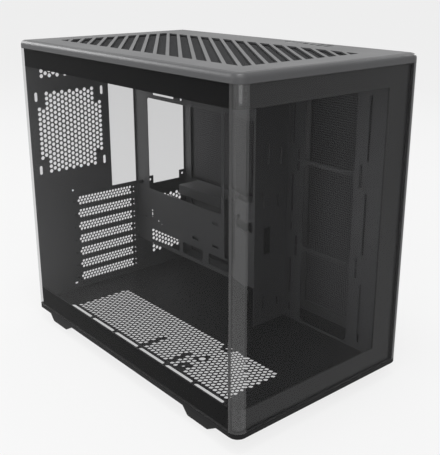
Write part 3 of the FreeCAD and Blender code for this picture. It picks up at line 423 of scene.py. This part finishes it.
def combine(piece, tool, operation):
    """Cuts a piece with a tool, unites them or keeps what they share, and removes the tool."""
    apply_modifier(piece, "BOOLEAN", object=tool, operation=operation, solver="MANIFOLD")
    bpy.data.objects.remove(tool)
    return piece


def row(piece, step, count):
    """Repeats a piece along a step."""
    return apply_modifier(piece, "ARRAY", use_relative_offset=False, use_constant_offset=True,
                          constant_offset_displace=step, count=count)


def along(axis, u, v, depth):
    """A point from its two places on a sheet that lies across an axis, and its depth."""
    return Vector({"x": (depth, u, v), "y": (u, depth, v), "z": (u, v, depth)}[axis])


def keep_prisms(piece, axis, test):
    """Deletes the prisms of a field whose middle fails a test."""
    second = 1 if axis == "z" else 2
    choose(piece)
    bpy.ops.object.mode_set(mode="EDIT")
    bpy.ops.mesh.select_mode(type="VERT")
    bpy.ops.mesh.select_all(action="DESELECT")
    shape = bmesh.from_edit_mesh(piece.data)
    corners = list(shape.verts)
    for first in range(0, len(corners), PRISM_POINTS):
        one = corners[first:first + PRISM_POINTS]
        u = sum(corner.co[0] for corner in one) / PRISM_POINTS
        v = sum(corner.co[second] for corner in one) / PRISM_POINTS
        for corner in one:
            corner.select_set(not test(u, v))
    shape.select_flush_mode()
    bmesh.update_edit_mesh(piece.data)
    bpy.ops.mesh.delete(type="VERT")
    bpy.ops.object.mode_set(mode="OBJECT")
    return piece


def honeycomb(name, axis, field, depths, pitch, across, test):
    """A field of hexagonal prisms on a staggered grid, for cutting a vent."""
    u0, u1, v0, v1 = field
    step = pitch * math.sqrt(3) / 2
    columns = int((u1 - u0 - across) / step) + 1
    rows = int((v1 - v0 - across) / pitch) + 1
    first_u = (u0 + u1) / 2 - (columns - 1) * step / 2
    first_v = (v0 + v1) / 2 - (rows - 1) * pitch / 2
    halves = []
    for odd in range(2):
        u, v = first_u + odd * step, first_v + odd * pitch / 2
        half = prism("half_field", HEX_CORNERS, across / math.sqrt(3), along(axis, u, v, depths[0]),
                     along(axis, u, v, depths[1]), axis)
        row(half, along(axis, 2 * step, 0.0, 0.0), (columns + 1 - odd) // 2)
        row(half, along(axis, 0.0, pitch, 0.0), rows - odd)
        halves.append(half)
    return keep_prisms(joined(name, halves), axis, test)


def everywhere(u, v):
    """Keeps every hole of a field."""
    return True


def square_hole(axis, u0, u1, v0, v1, depths):
    """A cutter for a rectangular opening."""
    return block("square_hole", along(axis, u0, v0, depths[0]), along(axis, u1, v1, depths[1]))


def eased_hole(axis, u0, u1, v0, v1, radius, depths):
    """A cutter for a rectangular opening with round corners."""
    through = THROUGH[axis]
    return ease_edges(square_hole(axis, u0, u1, v0, v1, depths),
                      lambda a, b: abs(a[through] - b[through]) > SHEET / 2, radius, HOLE_STEPS)


def round_slot(axis, u, v, width, length, depths):
    """A cutter for a round-ended slot of a width and a height on its sheet."""
    return eased_hole(axis, u - width / 2, u + width / 2, v - length / 2, v + length / 2,
                      min(width, length) / 2 * SLOT_END, depths)


def round_hole(axis, u, v, radius, depths):
    """A cutter for a round hole."""
    return prism("round_hole", ROUND_CORNERS, radius, along(axis, u, v, depths[0]),
                 along(axis, u, v, depths[1]), axis)


def past(low, high):
    """Depths that reach past both faces of a sheet."""
    return low - PAST, high + PAST


def finish_piece(piece, body, materials, nodes, which=None):
    """Gives a finished piece its finishes, face by face, and sets it on its body for its nodes."""
    piece.data.materials.clear()
    for material in materials:
        piece.data.materials.append(bpy.data.materials[material])
    if which is not None:
        for face in piece.data.polygons:
            face.material_index = which(face.center, face.normal)
    choose(piece)
    bpy.ops.object.shade_smooth_by_angle(angle=SMOOTH_ANGLE)
    apply_modifier(piece, "WEIGHTED_NORMAL", keep_sharp=True)
    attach(piece, body)
    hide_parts(*nodes)


def slot_fixings(z, depths):
    """Cutters for a slot's screw hole and for the two small holes at its other end."""
    screw_x, screw_radius = SLOT_SCREW
    x, rise, radius = SLOT_DOTS
    return [round_hole("y", screw_x, z, screw_radius, depths),
            round_hole("y", x, z - rise, radius, depths),
            round_hole("y", x, z + rise, radius, depths)]


# Shader helpers

def wire(tree, source, output, target, entry):
    """Links two nodes by their sockets' names or numbers."""
    tree.links.new(source.outputs[output], target.inputs[entry])


def new_group(name, entries, exits):
    """An empty shader group with named value sockets."""
    tree = bpy.data.node_groups.new(name, "ShaderNodeTree")
    for label, value in entries:
        socket = tree.interface.new_socket(label, in_out="INPUT", socket_type="NodeSocketFloat")
        socket.default_value = value
    for label in exits:
        tree.interface.new_socket(label, in_out="OUTPUT", socket_type="NodeSocketFloat")
    return tree, tree.nodes.new("NodeGroupInput"), tree.nodes.new("NodeGroupOutput")


def math_node(tree, operation, first, first_output, second, second_output):
    """A Math node fed by two other nodes."""
    node = tree.nodes.new("ShaderNodeMath")
    node.operation = operation
    wire(tree, first, first_output, node, 0)
    wire(tree, second, second_output, node, 1)
    return node


def grain_group():
    """Fine grain of a powder coat or moulded plastic: a height and a slow tone."""
    scales = [("Grain Scale", GRAIN_SCALE), ("Tone Scale", TONE_SCALE)]
    tree, entry, leave = new_group("Coat Grain", scales, ["Height", "Tone"])
    place = tree.nodes.new("ShaderNodeTexCoord")
    grain = tree.nodes.new("ShaderNodeTexNoise")
    grain.inputs["Detail"].default_value = GRAIN_DETAIL
    tone = tree.nodes.new("ShaderNodeTexNoise")
    tone.inputs["Detail"].default_value = TONE_DETAIL
    wire(tree, place, "Object", grain, "Vector")
    wire(tree, place, "Object", tone, "Vector")
    wire(tree, entry, "Grain Scale", grain, "Scale")
    wire(tree, entry, "Tone Scale", tone, "Scale")
    wire(tree, grain, "Fac", leave, "Height")
    wire(tree, tone, "Fac", leave, "Tone")


def weave_group():
    """A fine woven screen: a mask of its threads, which is also their height."""
    tree, entry, leave = new_group("Screen Weave", [("Threads", THREADS)], ["Thread"])
    place = tree.nodes.new("ShaderNodeTexCoord")
    parts = tree.nodes.new("ShaderNodeSeparateXYZ")
    wire(tree, place, "Object", parts, "Vector")
    slant = math_node(tree, "ADD", parts, "X", parts, "Z")
    waves = []
    for source, output in ((slant, "Value"), (parts, "Y")):
        scaled = math_node(tree, "MULTIPLY", source, output, entry, "Threads")
        wave = tree.nodes.new("ShaderNodeMath")
        wave.operation = "SINE"
        wire(tree, scaled, "Value", wave, 0)
        waves.append(wave)
    larger = math_node(tree, "MAXIMUM", waves[0], "Value", waves[1], "Value")
    mask = tree.nodes.new("ShaderNodeMapRange")
    mask.inputs["From Min"].default_value = THREAD_RANGE[0]
    mask.inputs["From Max"].default_value = THREAD_RANGE[1]
    wire(tree, larger, "Value", mask, "Value")
    wire(tree, mask, "Result", leave, "Thread")


def new_material(name):
    """A material with one Principled shader."""
    material = bpy.data.materials.new(name)
    material.use_nodes = True
    return material, material.node_tree, material.node_tree.nodes["Principled BSDF"]


def mix_shaders(tree, mask, first, second):
    """Puts out the first shader, or the second where the mask is 1."""
    mix = tree.nodes.new("ShaderNodeMixShader")
    wire(tree, mask, "Value", mix, 0)
    wire(tree, first, 0, mix, 1)
    wire(tree, second, 0, mix, 2)
    wire(tree, mix, "Shader", tree.nodes["Material Output"], "Surface")


def group_node(tree, group, **values):
    """A shader group placed in a material with its own values."""
    node = tree.nodes.new("ShaderNodeGroup")
    node.node_tree = bpy.data.node_groups[group]
    for key, value in values.items():
        node.inputs[key.replace("_", " ")].default_value = value
    return node


def shades(tree, mask, output, dark, light, shader):
    """Base Color that runs between two shades by a mask."""
    mix = tree.nodes.new("ShaderNodeMix")
    mix.data_type = "RGBA"
    mix.inputs[MIX_FIRST].default_value = (*dark, 1.0)
    mix.inputs[MIX_SECOND].default_value = (*light, 1.0)
    wire(tree, mask, output, mix, 0)
    wire(tree, mix, MIX_RESULT, shader, "Base Color")


def spread(tree, mask, output, low, high, shader, entry):
    """A shader value that runs between two limits by a mask."""
    node = tree.nodes.new("ShaderNodeMapRange")
    node.inputs["From Min"].default_value = TONE_RANGE[0]
    node.inputs["From Max"].default_value = TONE_RANGE[1]
    node.inputs["To Min"].default_value = low
    node.inputs["To Max"].default_value = high
    wire(tree, mask, output, node, "Value")
    wire(tree, node, "Result", shader, entry)


def relief(tree, mask, output, strength, distance, shader):
    """A bump from a height."""
    node = tree.nodes.new("ShaderNodeBump")
    node.inputs["Strength"].default_value = strength
    node.inputs["Distance"].default_value = distance
    wire(tree, mask, output, node, "Height")
    wire(tree, node, "Normal", shader, "Normal")


def coated(name, colour, roughness, grain, strength, metallic, specular):
    """A coat or plastic with fine grain and slow changes of tone and gloss."""
    _, tree, shader = new_material(name)
    mask = group_node(tree, "Coat Grain", Grain_Scale=grain)
    colour = Vector(colour)
    shades(tree, mask, "Tone", colour * (1 - TONE_CHANGE), colour * (1 + TONE_CHANGE), shader)
    spread(tree, mask, "Tone", roughness - GLOSS_CHANGE, roughness + GLOSS_CHANGE, shader, "Roughness")
    relief(tree, mask, "Height", strength, GRAIN_DEPTH, shader)
    shader.inputs["Metallic"].default_value = metallic
    shader.inputs["Specular IOR Level"].default_value = specular


def clear_glass(name, tint, gloss):
    """Smoky glass that hardly bends what is seen through it, and tints soft light."""
    _, tree, shader = new_material(name)
    shader.inputs["Base Color"].default_value = (*tint, 1.0)
    shader.inputs["Transmission Weight"].default_value = 1.0
    shader.inputs["Roughness"].default_value = 0.0
    shader.inputs["IOR"].default_value = GLASS_BENDING
    shader.inputs["Coat Weight"].default_value = gloss
    shader.inputs["Coat IOR"].default_value = GLOSS_BENDING
    shader.inputs["Coat Roughness"].default_value = GLOSS_ROUGHNESS
    path = tree.nodes.new("ShaderNodeLightPath")
    clear = tree.nodes.new("ShaderNodeBsdfTransparent")
    clear.inputs["Color"].default_value = (*tint, 1.0)
    straight = math_node(tree, "MAXIMUM", path, "Is Shadow Ray", path, "Is Diffuse Ray")
    mix_shaders(tree, straight, shader, clear)


def screen(name, gap, thread):
    """A fine woven screen, with the shade of its gaps and of its threads."""
    _, tree, shader = new_material(name)
    mask = group_node(tree, "Screen Weave")
    shades(tree, mask, "Thread", gap, thread, shader)
    relief(tree, mask, "Thread", THREAD_STRENGTH, THREAD_DEPTH, shader)
    shader.inputs["Roughness"].default_value = SCREEN_ROUGHNESS
    shader.inputs["Specular IOR Level"].default_value = 0.0


class CASE_OT_finishes(bpy.types.Operator):
    """Makes the finishes and gives them to the parts of the case"""
    bl_idname = "case.finishes"
    bl_label = "Finishes"

    def execute(self, context):
        colours = context.scene.case_finish
        grain_group()
        weave_group()
        for name, (setting, *values) in COATS.items():
            coated(name, getattr(colours, setting), *values)
        screen("Filter Screen", colours.plastic, colours.chassis)
        # The right screen is a lighter copy of the filter screen: painted light.
        screen("Side Screen", colours.chassis, colours.side_screen)
        clear_glass("Smoky Glass", colours.glass, FLAT_GLOSS)
        clear_glass("Corner Glass", colours.glass, BENT_GLOSS)
        for part in frame["record"]["subparts"]:
            finish = BY_NODE.get(part["node"], BY_SLOT[part["material_slot"]])
            for place in frame["nodes"][part["node"]].material_slots:
                place.material = bpy.data.materials[finish]
        return {"FINISHED"}


class CASE_OT_floor(bpy.types.Operator):
    """Models the floor sheet with its fine honeycomb, rail slots and fixing holes"""
    bl_idname = "case.floor"
    bl_label = "Floor sheet"

    def execute(self, context):
        vents = context.scene.case_vents
        low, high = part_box("floor_panel")
        depths = past(low.z, high.z)
        sheet = block("floor_sheet", low, high)
        ease_edges(sheet, lambda a, b: upright(a, b) and a.y < 0 and a.x < 0, FLOOR_LEFT_RADIUS,
                   EDGE_STEPS)
        ease_edges(sheet, lambda a, b: upright(a, b) and a.y < 0 and a.x > 0, FLOOR_RIGHT_RADIUS,
                   EDGE_STEPS)

        def open_here(x, y):
            """False on the bare strips and round the fixing holes."""
            for x0, x1, strip in FLOOR_STRIPS:
                if x0 < x < x1 and abs(y - strip) < FLOOR_STRIP_HALF:
                    return False
            return all(math.hypot(x - bx, y - by) > FLOOR_BOSS_REACH for bx, by, _ in FLOOR_BOSSES)

        tools = [honeycomb("floor_field", "z", FLOOR_VENT, depths, vents.pitch, vents.across, open_here)]
        for x, y, radius in FLOOR_BOSSES + FLOOR_REAR_HOLES:
            tools.append(round_hole("z", x, y, radius, depths))
        x, width, length, pitch, count = RAIL_SLOT
        for k in range(count):
            tools.append(round_slot("z", x, (k - (count - 1) / 2) * pitch, width, length, depths))
        combine(sheet, joined("floor_tools", tools), "DIFFERENCE")
        # The floor gets a darker copy of the chassis coat: painted shade.
        finish_piece(sheet, "chassis", ["Floor Coat"], ["floor_panel"])
        return {"FINISHED"}


class CASE_OT_rear(bpy.types.Operator):
    """Models the rear sheet with its fine vents and openings"""
    bl_idname = "case.rear"
    bl_label = "Rear sheet"

    def execute(self, context):
        vents = context.scene.case_vents
        low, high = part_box("rear_panel")
        depths = past(low.y, high.y)
        sheet = block("rear_sheet", low, high)
        fan_x, fan_z = FAN_CENTRE

        def in_fan(x, z):
            """True inside the fan vent, whose outer columns are shorter."""
            across, up = abs(x - fan_x), abs(z - fan_z)
            return up < FAN_VENT_HALF[1] and (across < FAN_VENT_SIDE[0] or up < FAN_VENT_SIDE[1])

        half_u, half_v = FAN_VENT_HALF
        field = (fan_x - half_u, fan_x + half_u, fan_z - half_v, fan_z + half_v)
        pitch, across = vents.pitch, vents.rear_across
        tools = [honeycomb("fan_field", "y", field, depths, pitch, across, in_fan),
                 honeycomb("top_row_field", "y", TOP_ROW, depths, pitch, across, everywhere),
                 honeycomb("low_field", "y", LOW_VENT, depths, pitch, across, everywhere),
                 square_hole("y", *IO_OPENING, depths)]
        for x in (fan_x - FAN_HALF_HOLES, fan_x + FAN_HALF_HOLES):
            for z in (fan_z - FAN_HALF_HOLES, fan_z + FAN_HALF_HOLES):
                tools.append(round_slot("y", x, z, *FAN_SLOT, depths))
        x0, x1, height = SLOT_OPENING
        for k in range(SLOT_COUNT):
            z = FIRST_SLOT - k * SLOT_PITCH
            tools.append(square_hole("y", x0, x1, z - height / 2, z + height / 2, depths))
            tools += slot_fixings(z, depths)
        tools += [round_slot("y", *dash, depths) for dash in (TOP_DASH, LOW_DASH)]
        tools.append(round_hole("y", *REAR_DOT, depths))
        x0, x1, z0, z1 = POWER_HOLES
        for x in (x0, x1):
            for z in (z0, z1):
                tools.append(round_hole("y", x, z, POWER_RADIUS, depths))
        tools.append(square_hole("y", x0 + POWER_TAB, x1 - POWER_TAB, z0 - POWER_END, z1 + POWER_END,
                                 depths))
        combine(sheet, joined("rear_tools", tools), "DIFFERENCE")
        wide = square_hole("y", x0 - POWER_SIDE, x1 + POWER_SIDE, z0 + POWER_TAB, z1 - POWER_TAB,
                           depths)
        combine(sheet, wide, "DIFFERENCE")
        finish_piece(sheet, "chassis", ["Chassis Coat"], ["rear_panel"])
        return {"FINISHED"}


class CASE_OT_slot_covers(bpy.types.Operator):
    """Models one perforated slot cover and copies it to every slot"""
    bl_idname = "case.slot_covers"
    bl_label = "Slot covers"

    def execute(self, context):
        vents = context.scene.case_vents
        low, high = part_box("slot_cover_1")
        depths = past(low.y, high.y)
        cover = block("slot_cover_sheet_1", low, high)
        ease_edges(cover, lambda a, b: abs(a.y - b.y) > SHEET / 2 and a.x > 0,
                   (high.z - low.z) * SLOT_TIP, HOLE_STEPS)
        middle = (low.z + high.z) / 2
        first, last, count, rise = SLOT_ROW
        pitch = (last - first) / (count - 1)
        tools = slot_fixings(middle, depths)
        for level in (-1, 0, 1):
            x = first if level else first - pitch / 2
            hole = prism("slot_row", HEX_CORNERS, vents.slot_across / math.sqrt(3),
                         along("y", x, middle + level * rise, depths[0]),
                         along("y", x, middle + level * rise, depths[1]), "y")
            tools.append(row(hole, (pitch, 0.0, 0.0), count))
        combine(cover, joined("slot_tools", tools), "DIFFERENCE")
        covers = [cover]
        for k in range(1, SLOT_COUNT):
            choose(cover)
            bpy.ops.object.duplicate(linked=False)
            bpy.context.object.location.z -= k * SLOT_PITCH
            covers.append(settle("slot_cover_sheet_%d" % (k + 1)))
        combine(covers[-1], round_slot("y", *LOW_DASH, depths), "DIFFERENCE")
        for k, piece in enumerate(covers):
            finish_piece(piece, "chassis", ["Chassis Coat"],
                         ["slot_cover_%d" % (k + 1)])
        return {"FINISHED"}


class CASE_OT_tray(bpy.types.Operator):
    """Models the tray between the chambers as one sheet with its openings and folded hem"""
    bl_idname = "case.tray"
    bl_label = "Tray"

    def execute(self, context):
        low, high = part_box("motherboard_tray")
        rail_low, rail_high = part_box("tray_lower_rail")
        depths = past(low.x, low.x + SHEET)
        sheet = block("tray_sheet", rail_low, high)
        hem = block("tray_hem", rail_low, (rail_high.x, rail_high.y, rail_low.z + SHEET))
        combine(sheet, hem, "UNION")
        tools = [eased_hole("x", *cut, depths) for cut in TRAY_CUTS]
        tools += [round_hole("x", y, z, radius, depths) for y, z, radius in TRAY_DOTS]
        combine(sheet, joined("tray_tools", tools), "DIFFERENCE")
        finish_piece(sheet, "chassis", ["Chassis Coat"],
                     ["motherboard_tray", "tray_front_strip", "tray_lower_rail"])
        return {"FINISHED"}


class CASE_OT_glass(bpy.types.Operator):
    """Models the flat side pane and the front pane that bends round the corner, with ground edges"""
    bl_idname = "case.glass"
    bl_label = "Glass panes"

    def side_pane(self):
        """The flat pane, whose ends are ground and dark."""
        low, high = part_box("side_glass")
        pane = block("side_pane", low, high)
        ease_edges(pane, upright, CORNER_ARRIS, ARRIS_STEPS)

        def ground(centre, normal):
            """The ends that are ground: at the seam, the top and the bottom."""
            ends = abs(normal.z) > FACING or normal.y < -FACING
            return EDGE_FACE if ends else CLEAR_FACE

        finish_piece(pane, "side_glass", ["Smoky Glass", "Glass Edge"], ["side_glass"],
                     ground)

    def front_pane(self):
        """The bent pane: the corner catches more light than the flat part."""
        low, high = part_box("front_glass")
        side_low, side_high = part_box("side_glass")
        thick = side_high.x - side_low.x

        def outer_corner(a, b):
            """The upright edge at the front left."""
            reach = FRONT_RADIUS / 2 + thick
            return upright(a, b) and a.x < low.x + reach and a.y < low.y + reach

        pane = ease_edges(block("front_pane", low, high), outer_corner, FRONT_RADIUS, BEND_STEPS)
        inner = block("front_inside", low + Vector((thick, thick, -PAST)),
                      high + Vector((PAST, PAST, PAST)))
        ease_edges(inner, outer_corner, FRONT_RADIUS - thick, BEND_STEPS)
        combine(pane, inner, "DIFFERENCE")

        def part(centre, normal):
            """Ground ends, the bent corner or the flat front."""
            rear_end = normal.y > FACING and centre.y > high.y - SHEET
            right_end = normal.x > FACING and centre.x > high.x - SHEET
            if abs(normal.z) > FACING or rear_end or right_end:
                return EDGE_FACE
            bent = max(centre.x - low.x, centre.y - low.y) < FRONT_RADIUS
            return BENT_FACE if bent else CLEAR_FACE

        finish_piece(pane, "front_glass", ["Smoky Glass", "Glass Edge", "Corner Glass"],
                     ["front_glass"], part)

    def execute(self, context):
        self.side_pane()
        self.front_pane()
        return {"FINISHED"}


class CASE_OT_cover(bpy.types.Operator):
    """Models the hollow top cover with its rounded edge, groove and diagonal slats"""
    bl_idname = "case.cover"
    bl_label = "Top cover"

    def rounded_block(self, name, low, high, inset):
        """A block with the case's outline, moved inwards by an inset."""
        piece = block(name, low + Vector((inset, inset, 0)), high - Vector((inset, inset, 0)))
        ease_edges(piece, lambda a, b: upright(a, b) and a.y < 0, max(FRONT_RADIUS - inset, SHEET),
                   CORNER_STEPS)
        return ease_edges(piece, lambda a, b: upright(a, b) and a.y > 0, max(REAR_RADIUS - inset, SHEET),
                          EDGE_STEPS)

    def port_tools(self, depths):
        """Cutters for the openings of the ports and buttons."""
        length, width, places = USB_A
        across, up = length + 2 * PORT_GAP, width + 2 * PORT_GAP
        tools = [eased_hole("z", PORT_X - across / 2, PORT_X + across / 2, y - up / 2, y + up / 2,
                            PORT_GAP, depths) for y in places]
        length, width, y = USB_C
        tools.append(round_slot("z", PORT_X, y, length + 2 * PORT_GAP, width + 2 * PORT_GAP, depths))
        tools += [round_hole("z", PORT_X, y, radius + PORT_GAP, depths) for y, radius in ROUND_PORTS]
        return joined("port_tools", tools)

    def slat_gaps(self, sizes, ceiling, top):
        """A cutter for the gaps between the slats, cut off by the edges of their field."""
        x0, x1, y0, y1 = COVER_VENT
        middle = Vector(((x0 + x1) / 2, (y0 + y1) / 2, ceiling))
        reach = math.hypot(x1 - x0, y1 - y0)
        opening = sizes.slat_pitch - sizes.slat_width
        count = 2 * int(reach / 2 / sizes.slat_pitch) + 1
        bar = block("slat_gap", (-reach, -opening / 2, -PAST), (reach, opening / 2, sizes.plate + PAST))
        row(bar, (0.0, sizes.slat_pitch, 0.0), count)
        across = Vector((-math.sin(sizes.slat_angle), math.cos(sizes.slat_angle), 0.0))
        bar.location = middle - across * sizes.slat_pitch * (count - 1) / 2
        bar.rotation_euler.z = sizes.slat_angle
        choose(bar)
        settle("slat_gaps")
        field = block("slat_field", (x0, y0, ceiling - 2 * PAST), (x1, y1, top + 2 * PAST))
        return combine(bar, field, "INTERSECT")

    def groove(self, sizes, low, high):
        """A cutter for the fine groove that runs round the top."""
        base = Vector((low.x, low.y, high.z - sizes.groove_depth))
        top = Vector((high.x, high.y, high.z + PAST))
        rise = Vector((0.0, 0.0, PAST))
        ring = self.rounded_block("cover_groove", base, top, sizes.groove_inset)
        island = self.rounded_block("groove_island", base - rise, top + rise,
                                    sizes.groove_inset + sizes.groove_width)
        return combine(ring, island, "DIFFERENCE")

    def execute(self, context):
        sizes = context.scene.case_cover
        low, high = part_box("top_cover")
        cover = self.rounded_block("cover", low, high, 0.0)
        ease_edges(cover, lambda a, b: min(a.z, b.z) > high.z - NEAR, sizes.edge, EDGE_STEPS)
        ceiling = high.z - sizes.plate
        hollow = self.rounded_block("cover_hollow", Vector((low.x, low.y, low.z - PAST)),
                                    Vector((high.x, high.y, ceiling)), sizes.wall)
        combine(cover, hollow, "DIFFERENCE")
        combine(cover, self.groove(sizes, low, high), "DIFFERENCE")
        combine(cover, self.slat_gaps(sizes, ceiling, high.z), "DIFFERENCE")
        combine(cover, self.port_tools(past(ceiling, high.z)), "DIFFERENCE")
        finish_piece(cover, "top_cover", ["Cover Coat"], ["top_cover"])
        return {"FINISHED"}


class CASE_OT_stage(bpy.types.Operator):
    """Sets the ground, the light and the camera"""
    bl_idname = "case.stage"
    bl_label = "Stage"

    def seen(self, tree):
        """A mask of the rays that show the background: camera, glossy and transmission rays."""
        path = tree.nodes.new("ShaderNodeLightPath")
        first = math_node(tree, "ADD", path, "Is Camera Ray", path, "Is Glossy Ray")
        both = math_node(tree, "ADD", first, "Value", path, "Is Transmission Ray")
        both.use_clamp = True
        return both

    def ground(self, stage):
        """A pale ground that shows its own colour and keeps some of the shadow."""
        clear_selection()
        bpy.ops.mesh.primitive_plane_add(size=GROUND_SIZE, location=(0.0, 0.0, GROUND_LEVEL))
        plane = settle("ground")
        material, tree, shader = new_material("Ground")
        shader.inputs["Base Color"].default_value = (*stage.ground, 1.0)
        shader.inputs["Roughness"].default_value = GROUND_ROUGHNESS
        shader.inputs["Specular IOR Level"].default_value = 0.0
        glow = tree.nodes.new("ShaderNodeEmission")
        glow.inputs["Color"].default_value = (*stage.backdrop, 1.0)
        share = tree.nodes.new("ShaderNodeMath")
        share.operation = "MULTIPLY"
        share.inputs[1].default_value = GROUND_GLOW
        wire(tree, self.seen(tree), "Value", share, 0)
        mix_shaders(tree, share, shader, glow)
        plane.data.materials.append(material)

    def sky(self, stage):
        """Even light from all sides, with the ground's colour behind the case."""
        world = bpy.data.worlds.new("Studio")
        bpy.context.scene.world = world
        world.use_nodes = True
        tree = world.node_tree
        back = tree.nodes["Background"]
        mix = tree.nodes.new("ShaderNodeMix")
        mix.data_type = "RGBA"
        mix.inputs[MIX_FIRST].default_value = (stage.ambient, stage.ambient, stage.ambient, 1.0)
        mix.inputs[MIX_SECOND].default_value = (*stage.ground, 1.0)
        wire(tree, self.seen(tree), "Value", mix, 0)
        wire(tree, mix, MIX_RESULT, back, "Color")

    def lamp(self, name, power, size, place, target):
        """A square soft lamp aimed at a point."""
        clear_selection()
        bpy.ops.object.light_add(type="AREA", location=place)
        lamp = bpy.context.object
        lamp.name = name
        lamp.data.energy = power
        lamp.data.size = size
        lamp.rotation_euler = (Vector(target) - Vector(place)).to_track_quat("-Z", "Y").to_euler()

    def camera(self, stage):
        """The photograph's view."""
        clear_selection()
        bpy.ops.object.camera_add(location=stage.place)
        camera = bpy.context.object
        bpy.context.scene.camera = camera
        turn, rise = stage.turn, stage.rise
        back = Vector((math.sin(turn) * math.cos(rise), -math.cos(turn) * math.cos(rise),
                       math.sin(rise)))
        level = (-back).to_track_quat("-Z", "Y").to_matrix()
        camera.rotation_euler = (level @ Matrix.Rotation(stage.roll, 3, "Z")).to_euler()
        camera.data.lens = stage.lens
        camera.data.sensor_width = SENSOR_WIDTH
        camera.data.shift_x = PICTURE_SHIFT[0] / PICTURE_HEIGHT
        camera.data.shift_y = PICTURE_SHIFT[1] / PICTURE_HEIGHT

    def execute(self, context):
        stage = context.scene.case_stage
        context.scene.view_settings.view_transform = "Standard"
        self.ground(stage)
        self.sky(stage)
        for name, (size, place, target) in LAMPS.items():
            self.lamp(name, getattr(stage, name), size, place, target)
        self.camera(stage)
        return {"FINISHED"}


class CASE_PT_dressing(bpy.types.Panel):
    """Lists the steps that dress the case"""
    bl_idname = "CASE_PT_dressing"
    bl_label = "Case"
    bl_space_type = "VIEW_3D"
    bl_region_type = "UI"
    bl_category = "Case"

    def draw(self, context):
        for step in STEPS:
            self.layout.operator(step.bl_idname)


GROUPS = {"case_vents": CaseVentSettings, "case_cover": CaseCoverSettings,
          "case_finish": CaseFinishSettings, "case_stage": CaseStageSettings}
STEPS = [CASE_OT_finishes, CASE_OT_floor, CASE_OT_rear, CASE_OT_slot_covers, CASE_OT_tray,
         CASE_OT_glass, CASE_OT_cover, CASE_OT_stage]


def register():
    """Registers the settings, the steps and the panel."""
    for name, group in GROUPS.items():
        bpy.utils.register_class(group)
        setattr(bpy.types.Scene, name, PointerProperty(type=group))
    for step in STEPS:
        bpy.utils.register_class(step)
    bpy.utils.register_class(CASE_PT_dressing)


def unregister():
    """Removes what register added."""
    bpy.utils.unregister_class(CASE_PT_dressing)
    for step in reversed(STEPS):
        bpy.utils.unregister_class(step)
    for name, group in GROUPS.items():
        delattr(bpy.types.Scene, name)
        bpy.utils.unregister_class(group)


def main():
    """Dresses the case step by step."""
    register()
    bpy.ops.case.finishes()
    bpy.ops.case.floor()
    bpy.ops.case.rear()
    bpy.ops.case.slot_covers()
    bpy.ops.case.tray()
    bpy.ops.case.glass()
    bpy.ops.case.cover()
    bpy.ops.case.stage()


if __name__ == "__main__":
    main()
